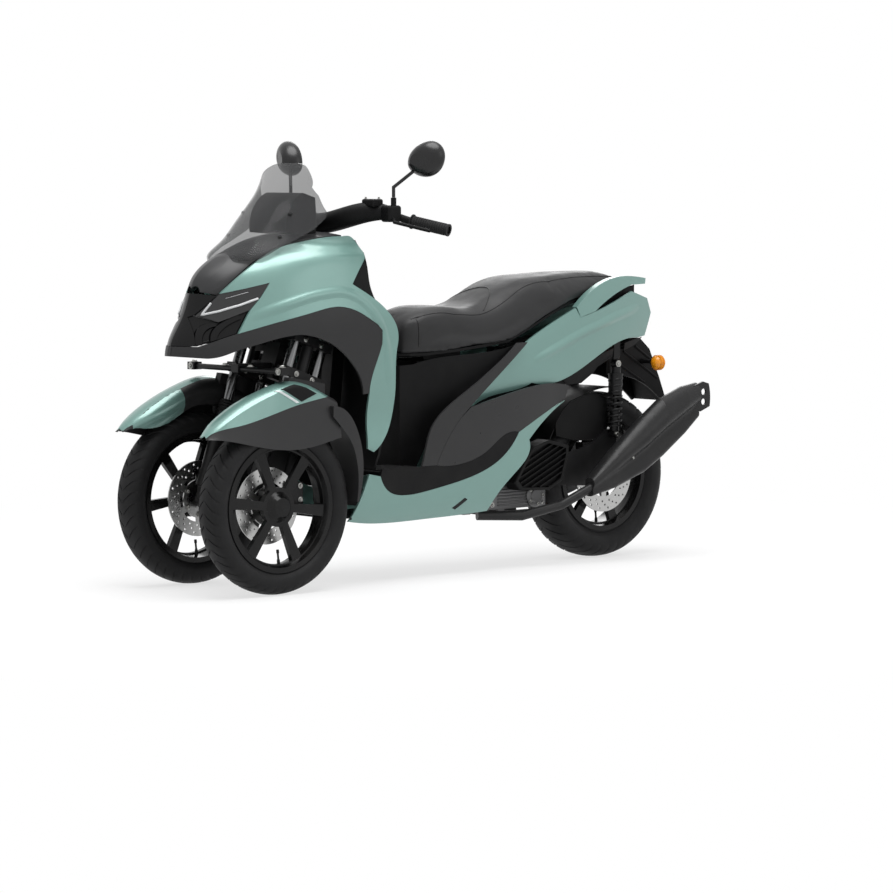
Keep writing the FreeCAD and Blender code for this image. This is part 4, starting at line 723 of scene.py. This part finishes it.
LINER = [(770, 470), (770, 510), (878, 552), (1018, 578), (1150, 588), (1200, 592), (1206, 562),
         (1150, 540), (1018, 520), (878, 490)]
RAIL_LINER = [(1235, 735), (1235, 752), (1300, 796), (1400, 826), (1490, 842), (1490, 812),
              (1400, 786), (1300, 752)]
SEAL = [(640, 641), (640, 660), (780, 664), (780, 643)]
for side, sign in SIDES:
    for name, outline, x, body in (("tail_liner_", LINER, 134, "chassis"),
                                   ("rail_liner_", RAIL_LINER, 99, "chassis"),
                                   ("seat_seal_", SEAL, 97, "seat_lid")):
        add_piece(plate(name + side, outline, x * sign, 2), moulded, body, "black_plastic")


# Seat: moulded foam under a stretched vinyl cover, stapled to a plastic pan that lifts
# at the front hinge. Seams run along its shoulders, down its front corners and across
# the step.

vinyl = Finish("seat_vinyl", (0.017, 0.017, 0.0177), 0.50, Specular_IOR_Level=0.30)
vinyl.uneven(16.0, 0.07).bump(vinyl.noise(850.0, 2.0), 0.35, 0.0003)
dress(moulded, "seat_pan")
GRAIN = 0.006
SHRINK = 0.004
REACH = 0.009
AIR_FRAMES = 20
AIR_PRESSURE = 4.0


def plump(name, node):
    """The cover of a padded seat: a fine copy of its solid, filled out by air pressure."""
    source = nodes[node]
    mesh = source.data.copy()
    mesh.transform(source.matrix_world)
    cover = bpy.data.objects.new(name, mesh)
    scene.collection.objects.link(cover)
    remesh = cover.modifiers.new("grain", "REMESH")
    remesh.mode = "VOXEL"
    remesh.voxel_size = GRAIN
    fine = bpy.data.meshes.new_from_object(
        cover.evaluated_get(bpy.context.evaluated_depsgraph_get()))
    cover.modifiers.clear()
    cover.data = fine
    normals = [v.normal.copy() for v in fine.vertices]
    held = cover.vertex_groups.new(name="held")
    for vertex, normal in zip(fine.vertices, normals):
        if normal.z < -0.5:
            held.add([vertex.index], 1.0, "REPLACE")
        else:
            vertex.co -= normal * SHRINK
    start = [v.co.copy() for v in fine.vertices]
    cloth = cover.modifiers.new("air", "CLOTH")
    cloth.settings.quality = 4
    cloth.settings.use_pressure = True
    cloth.settings.uniform_pressure_force = AIR_PRESSURE
    cloth.settings.vertex_group_mass = "held"
    cloth.settings.effector_weights.gravity = 0.0
    cloth.point_cache.frame_end = AIR_FRAMES
    for number in range(AIR_FRAMES):
        scene.frame_set(number + 1)
    shaped = cover.evaluated_get(bpy.context.evaluated_depsgraph_get()).data
    moved = [v.co.copy() for v in shaped.vertices]
    cover.modifiers.clear()
    for vertex, old, new in zip(fine.vertices, start, moved):
        step = new - old
        if step.length > REACH:
            step *= REACH / step.length
        vertex.co = old + step
    scene.frame_set(1)
    return cover


cushion = plump("seat_cover", "seat_cushion")
smooth = cushion.modifiers.new("settled", "SMOOTH")
smooth.factor = 0.5
smooth.iterations = 4
cushion.modifiers.new("fine", "SUBSURF").levels = 1
cushion.modifiers["fine"].render_levels = 1
cushion.data.polygons.foreach_set("use_smooth", [True] * len(cushion.data.polygons))
add_piece(cushion, vinyl, "seat_lid", "seat_vinyl", "seat_cushion")

cover_skin = skin_of(cushion)


def seam(name, spots, way):
    """A sewn edge: a thin welt along points dropped on the cover."""
    line = []
    for spot in spots:
        place, normal, _, _ = cover_skin.ray_cast(spot - Vector(way) * CLEAR, Vector(way))
        if place is not None:
            line.append(place + (normal if normal.dot(Vector(way)) < 0 else -normal) * 0.0002)
    welt = wire(name, line, 0.0016)
    add_piece(welt, vinyl, "seat_lid", "seat_vinyl")


SHOULDER = [(600, 84), (640, 96), (740, 112), (840, 118), (930, 116), (1020, 112), (1110, 108),
            (1190, 99), (1290, 86), (1380, 78), (1440, 66)]


def shoulder_at(behind):
    """How far from the middle a shoulder seam runs, at a place behind the front axle."""
    for (a, fa), (b, fb) in zip(SHOULDER, SHOULDER[1:]):
        if behind <= b:
            return fa + (fb - fa) * (behind - a) / (b - a)
    return SHOULDER[-1][1]


# Stitches are dropped on the cover from a level above it. The step seam bows to the front:
# its place is a parabola on the distance from the middle.
OVERHEAD = 900
SHOULDER_STITCHES = [600 + 14 * k for k in range(61)]
CORNER_STITCHES = [(614, 758 - 7 * k) for k in range(12)]
STEP_STITCHES = [2 * k for k in range(56)]
STEP_PLACE = 958
STEP_BOW = 0.008
for side, sign in SIDES:
    seam("shoulder_seam_" + side, [at(shoulder_at(behind) * sign, behind, OVERHEAD)
                                   for behind in SHOULDER_STITCHES], (0, 0, -1))
    seam("front_seam_" + side, beside(CORNER_STITCHES, sign), (-sign, 0, 0))
    seam("step_seam_" + side, [at(x * sign, STEP_PLACE - STEP_BOW * x ** 2, OVERHEAD)
                               for x in STEP_STITCHES], (0, 0, -1))


# Tail: mint side panels over black inner mouldings, a grab rail, a red lamp, a long
# mudguard that carries the rear indicators on stalks, and a hugger over the tyre.

red = Finish("red_lens", (0.26, 0.008, 0.010), 0.12, Coat_Weight=0.6, Coat_Roughness=0.04)
red.uneven(15.0, 0.03)
amber = Finish("amber_lens", (0.72, 0.26, 0.008), 0.22, Specular_IOR_Level=0.5)
amber.uneven(20.0, 0.03)
dress(mint, "tail_cowl", "grab_rail")
dress(moulded, "under_tail", "rear_mudguard", "hugger")
dress(red, "tail_lamp")
LENS_HALF = 0.074
LENS_RIB = 0.0022
LENS_RIBS = [(1548.5 + 2.9 * k, 698 + 9 * k) for k in range(6)]
lens_ribs = bmesh.new()
for behind, z in LENS_RIBS:
    turned(lens_ribs, [(-LENS_HALF, 0), (-LENS_HALF, LENS_RIB), (LENS_HALF, LENS_RIB),
                       (LENS_HALF, 0)], at(0, behind, z), (1, 0, 0), 10)
add_piece(from_bmesh("tail_lamp_ribs", lens_ribs), red, "chassis", "red_lens")
POD = [(-0.0205, 0), (-0.0198, 0.0070), (-0.016, 0.0150), (-0.010, 0.0205), (0.0, 0.0232),
       (0.008, 0.0222), (0.014, 0.0190), (0.0185, 0.0130), (0.0205, 0.0060), (0.0210, 0)]
POD_RING = [(-0.0006, 0.0222), (0.0, 0.0237), (0.0010, 0.0237), (0.0016, 0.0222)]
RING_PITCH = 0.0036
STALK = [(0, 0), (0, 0.009), (0.012, 0.0065), (0.043, 0.006), (0.045, 0.010), (0.050, 0.010),
         (0.050, 0)]
for side, sign in SIDES:
    stalk = bmesh.new()
    turned(stalk, STALK, at(72.4 * sign, 1550, 603), (sign, 0, 0), 20)
    add_piece(from_bmesh("indicator_body_" + side, stalk), moulded, "chassis", "amber_lens",
              "rear_indicators")
    pod = bmesh.new()
    pod_place = at(141 * sign, 1552, 601)
    turned(pod, POD, pod_place, (0, 1, 0))
    for k in range(-2, 3):
        turned(pod, POD_RING, pod_place + Vector((0, RING_PITCH * k, 0)), (0, 1, 0))
    add_piece(from_bmesh("indicator_lens_" + side, pod), amber, "chassis", "amber_lens")

CREASE = [(1010, 622), (1104, 660), (1226, 706), (1380, 749), (1500, 774)]
RIBS = [((1425, 612), (1560, 536)), ((1470, 636), (1616, 548)), ((1520, 650), (1612, 592))]
RIB_STEPS = 20
CHEEK_X = 0.07
tail_skin = skin_of(nodes["tail_cowl"])
cheek_skin = skin_of(nodes["rear_mudguard"])
for side, sign in SIDES:
    crease = swage("tail_crease_" + side, tail_skin, beside(CREASE, sign), 0.020, 0.0065,
                   (-sign, 0, 0))
    add_piece(crease, mint, "chassis", "mint_paint")
    for k, ends in enumerate(RIBS):
        low, high = beside(ends, sign)
        met = [cheek_skin.ray_cast(low.lerp(high, n / RIB_STEPS), Vector((-sign, 0, 0)))[0]
               for n in range(RIB_STEPS + 1)]
        line = [place for place in met if place is not None and abs(place.x) > CHEEK_X]
        rib = wire("mudguard_rib_%s_%d" % (side, k), line, 0.004)
        add_piece(rib, moulded, "chassis", "black_plastic")
rack_spots = [(at(x, behind, 858), (0, 0, 1)) for x in (-60, 60) for behind in (1485, 1521)]
bolts("rack_plugs", boot_rubber, "chassis", "black_plastic", rack_spots, 0.0042)


# Power unit: engine and belt case cast in one swinging mass, its cooler behind a black
# cover with slanting louvres, hung on two shocks with steel coils. The exhaust is on the
# left, and a moulded plate there keeps spray off the engine in front of the rear tyre.

alloy = coated_metal("cast_alloy", (0.13, 0.13, 0.132), 0.45, 0.85, 250.0, 0.5)
heat_black = coated_metal("exhaust_black", (0.016, 0.016, 0.0165), 0.36, 0.0, 500.0)
dress(alloy, "power_unit")

COVER_EDGE = [(1103, 383), (1040, 365), (1021, 347), (963, 261), (985, 236), (1104, 231),
              (1158, 259), (1183, 340), (1183, 363)]
COVER_MIDDLE = Vector((1085, 300))
COVER_BACK, COVER_FLOOR, COVER_SHOULDER, COVER_FACE = 84.5, 124, 136, 138.5


def drawn_in(share):
    """The cover's edge, drawn in towards its middle."""
    return [COVER_MIDDLE + (Vector(p) - COVER_MIDDLE) * share for p in COVER_EDGE]


inner_edge = drawn_in(0.88)
cover = bmesh.new()
rings = [[cover.verts.new(at(x, *p)) for p in edge] for x, edge in (
    (COVER_BACK, COVER_EDGE), (COVER_SHOULDER, COVER_EDGE), (COVER_FACE, drawn_in(0.97)),
    (COVER_FACE, inner_edge), (COVER_FLOOR, inner_edge))]
for low, high in zip(rings, rings[1:]):
    bridge(cover, low, high)
cover.faces.new(rings[-1])
cover.faces.new(rings[0][::-1])

# Each louvre spans the opening along SLANT; its section is given by the distance from the
# middle of the trike and along RISE.
SLANT = Vector((0.91, 0.415))
RISE = Vector((-0.415, 0.91))
LOUVRE_PITCH = 15.5
LOUVRE = ((124, -2.4), (138, 1.2), (138, 4.4), (124, 2.4))
for k in range(-4, 5):
    spots = []
    base = COVER_MIDDLE + RISE * LOUVRE_PITCH * k
    for p, q in zip(inner_edge, inner_edge[1:] + inner_edge[:1]):
        a, b = (p - base).dot(RISE), (q - base).dot(RISE)
        if (a < 0) != (b < 0):
            spots.append(p + (q - p) * (a / (a - b)))
    if len(spots) == 2:
        spots.sort(key=lambda p: p.dot(SLANT))
        first, last = [[cover.verts.new(at(x, *(spot + RISE * rise))) for x, rise in LOUVRE]
                       for spot in spots]
        bridge(cover, first, last)
        cover.faces.new(first[::-1])
        cover.faces.new(last)
add_piece(from_bmesh("cooler_cover", cover), moulded, "chassis", "black_plastic",
          "radiator_cover")

dress(satin_black, "swing_arm")
dress(heat_black, "exhaust")
SHOCK_X = 98
SHOCK_TOP = (1415, 601)
SHOCK_FOOT = (1408, 385)
COIL_RADIUS = 0.0195
COIL_TURNS = 8
COIL_STEPS = 20
COIL_FOOT = 0.031
COIL_HEAD = 0.037
for side, sign in SIDES:
    high, low = at(SHOCK_X * sign, *SHOCK_TOP), at(SHOCK_X * sign, *SHOCK_FOOT)
    way = (high - low).normalized()
    reach = (high - low).length
    damper = bmesh.new()
    for end in (low, high):
        turned(damper, [(-0.011, 0.0066), (-0.011, 0.0125), (0.011, 0.0125), (0.011, 0.0066)],
               end, (1, 0, 0), 24)
    turned(damper, [(0.010, 0), (0.010, 0.015), (0.075, 0.015), (0.078, 0.006),
                    (reach - 0.03, 0.006), (reach - 0.03, 0.016), (reach - 0.010, 0.016),
                    (reach - 0.010, 0)], low, way)
    for along in (0.024, reach - 0.034):
        turned(damper, [(along, 0.010), (along, 0.0235), (along + 0.004, 0.0235),
                        (along + 0.004, 0.010)], low, way)
    turned(damper, [(reach - 0.030, 0.0225), (reach - 0.095, 0.021), (reach - 0.095, 0.012)],
           low, way)
    add_piece(from_bmesh("damper_" + side, damper), satin_black, "chassis", "black_metal",
              "rear_shocks")
    turn = way.to_track_quat("Z", "Y")
    coil = []
    for k in range(COIL_TURNS * COIL_STEPS + 1):
        angle = math.tau * k / COIL_STEPS
        share = k / (COIL_TURNS * COIL_STEPS)
        along = COIL_FOOT + (reach - COIL_FOOT - COIL_HEAD) * share
        coil.append(low + turn @ Vector((COIL_RADIUS * math.cos(angle),
                                         COIL_RADIUS * math.sin(angle), along)))
    add_piece(wire("coil_" + side, coil, 0.0042), satin_black, "chassis", "black_metal")
place, out = snapped(skin_of(nodes["exhaust"]), at(215, 1396, 306))
bolts("muffler_bolts", zinc, "chassis", "exhaust_black", [(place, tuple(out))], 0.004)
shock_ends = [(at((SHOCK_X + 11) * sign, *end), (sign, 0, 0))
              for sign in (-1, 1) for end in (SHOCK_TOP, SHOCK_FOOT)]
bolts("shock_bolts", zinc, "chassis", "black_metal", shock_ends, 0.007)

ENGINE_FACE = 84
BELT_CASE_FACE = -135
engine_spots = [(at(ENGINE_FACE, behind, z), (1, 0, 0)) for behind, z in (
    (1118, 330), (1118, 250), (1118, 192), (920, 192), (920, 335))]
bolts("engine_bolts", zinc, "chassis", "alloy", engine_spots)
case_spots = [(at(BELT_CASE_FACE, behind, z), (-1, 0, 0)) for behind, z in (
    (1010, 325), (1150, 338), (1300, 320), (1410, 300), (1440, 256), (1400, 212), (1200, 200),
    (1010, 200))]
bolts("belt_case_bolts", zinc, "chassis", "alloy", case_spots, 0.0045)
CAP_PLACE = (1092, 212)
CAP_BOLTS = 5
CAP_BOLT_RING = 27.5
CASE_RIB = 0.0028
CASE_RIB_LENGTH = 0.118
CASE_RIB_LEVELS = range(190, 244, 9)
case = bmesh.new()
for z in CASE_RIB_LEVELS:
    turned(case, [(0, 0), (0, CASE_RIB), (CASE_RIB_LENGTH, CASE_RIB), (CASE_RIB_LENGTH, 0)],
           at(ENGINE_FACE + 0.2, 942, z), (0, 1, 0), 10)
turned(case, [(-0.002, 0), (-0.002, 0.036), (0.004, 0.036), (0.006, 0.033), (0.006, 0.022),
              (0.009, 0.019), (0.009, 0)], at(ENGINE_FACE, *CAP_PLACE), (1, 0, 0), 36)
add_piece(from_bmesh("case_ribs", case), alloy, "chassis", "alloy")
cap_spots = []
for k in range(CAP_BOLTS):
    angle = math.tau * k / CAP_BOLTS
    cap_spots.append((at(ENGINE_FACE + 6, CAP_PLACE[0] + CAP_BOLT_RING * math.cos(angle),
                         CAP_PLACE[1] + CAP_BOLT_RING * math.sin(angle)), (1, 0, 0)))
bolts("case_cover_bolts", zinc, "chassis", "alloy", cap_spots, 0.003)

GUARD = [(1188, 427), (1214, 462), (1247, 490), (1297, 506), (1352, 511), (1397, 495),
         (1408, 420), (1385, 372), (1323, 368), (1262, 372), (1189, 388)]
GUARD_X = 72.4
add_piece(plate("tyre_guard", GUARD, GUARD_X, 2), moulded, "chassis", "black_plastic")
bead = wire("tyre_guard_bead", [at(GUARD_X + 0.2, *p) for p in GUARD], 0.0024, True)
add_piece(bead, moulded, "chassis", "black_plastic")
nut = bmesh.new()
turned(nut, [(0, 0), (0, 0.021), (0.004, 0.021), (0.004, 0.0145), (0.014, 0.0145), (0.016, 0.012),
             (0.016, 0)], HUBS["rear"] + Vector((0.0864, 0, 0)), (1, 0, 0), 6)
add_piece(from_bmesh("rear_axle_nut", nut, 20), zinc, "chassis", "black_metal")


# Stands: a centre stand under the engine and a side stand on a welded bracket, both of
# bent steel tube, powder coated, and sprung up against their stops.

dress(satin_black, "centre_stand", "side_stand", "side_stand_bracket")


# Studio: a white sweep that keeps the shadow, soft light from above and both sides, and the
# camera at the photograph's angle. Far off, the sweep goes over to plain white.

NEAR_SHARE = 0.67
NEAR_EDGE = 1.3
FAR_EDGE = 2.6
FLOOR_HALF = 40
WORLD_LEVEL = 0.42
PLAIN_WHITE = (1.0, 1.0, 1.0, 1.0)
white = Finish("sweep", (0.90, 0.90, 0.905), 0.8)
seen = white.node("LightPath", "Is Camera Ray")
glossy = white.node("LightPath", "Is Glossy Ray")
through = white.node("LightPath", "Is Transmission Ray")
glow = white.node("Emission", 0, {"Color": PLAIN_WHITE, "Strength": 1.0})
lit = Field(white, white.shader.outputs[0])
distance = white.node("VectorMath", 1, {0: white.place()}, operation="LENGTH")
share = white.ramp(distance, NEAR_EDGE, FAR_EDGE, NEAR_SHARE, 1.0)
mixed = white.node("MixShader", 0, {0: (seen + glossy + through) * share, 1: lit, 2: glow})
white.feed(white.tree.nodes["Material Output"].inputs["Surface"], mixed)
floor_mesh = bpy.data.meshes.new("floor")
floor_mesh.from_pydata([(x * FLOOR_HALF, y * FLOOR_HALF, 0) for x, y in (
    (-1, -1), (1, -1), (1, 1), (-1, 1))], [], [(0, 1, 2, 3)])
floor = bpy.data.objects.new("floor", floor_mesh)
scene.collection.objects.link(floor)
floor_mesh.materials.append(white.material)

world = bpy.data.worlds.new("studio")
scene.world = world
world.use_nodes = True
tree = world.node_tree
back = tree.nodes["Background"]
back.inputs["Color"].default_value = PLAIN_WHITE
back.inputs["Strength"].default_value = WORLD_LEVEL
plain = tree.nodes.new("ShaderNodeBackground")
plain.inputs["Color"].default_value = PLAIN_WHITE
plain.inputs["Strength"].default_value = 1.0
path = tree.nodes.new("ShaderNodeLightPath")
swap = tree.nodes.new("ShaderNodeMixShader")
share = path.outputs["Is Camera Ray"]
for ray in ("Is Glossy Ray", "Is Transmission Ray"):
    either = tree.nodes.new("ShaderNodeMath")
    either.operation = "MAXIMUM"
    tree.links.new(share, either.inputs[0])
    tree.links.new(path.outputs[ray], either.inputs[1])
    share = either.outputs[0]
tree.links.new(share, swap.inputs[0])
tree.links.new(back.outputs[0], swap.inputs[1])
tree.links.new(plain.outputs[0], swap.inputs[2])
tree.links.new(swap.outputs[0], tree.nodes["World Output"].inputs["Surface"])


def soft_light(name, place, target, size, watts):
    """A round area lamp at a place, turned to a target."""
    data = bpy.data.lights.new(name, "AREA")
    data.shape = "DISK"
    data.size = size
    data.energy = watts
    light = bpy.data.objects.new(name, data)
    scene.collection.objects.link(light)
    light.location = place
    light.rotation_euler = (Vector(target) - Vector(place)).to_track_quat("-Z", "Y").to_euler()


soft_light("overhead", (0.8, -0.5, 5.5), (0, 0, 0.4), 4.5, 300)
soft_light("fill", (6.0, 1.5, 2.8), (0, 0, 0.6), 4.0, 36)
soft_light("rim", (-4.0, 4.0, 3.0), (0, 0, 0.8), 3.0, 60)

VIEW_PLACE = Vector((8.9278, -7.6235, 1.2636))
VIEW_TARGET = Vector((0.0, 0.07617, 0.36943))
view_data = bpy.data.cameras.new("view")
view_data.sensor_width = 36.0
view_data.lens = 158.9
view_data.clip_end = 100.0
view = bpy.data.objects.new("view", view_data)
scene.collection.objects.link(view)
view.location = VIEW_PLACE
view.rotation_euler = (VIEW_TARGET - VIEW_PLACE).to_track_quat("-Z", "Y").to_euler()
scene.camera = view
scene.view_settings.view_transform = "Standard"
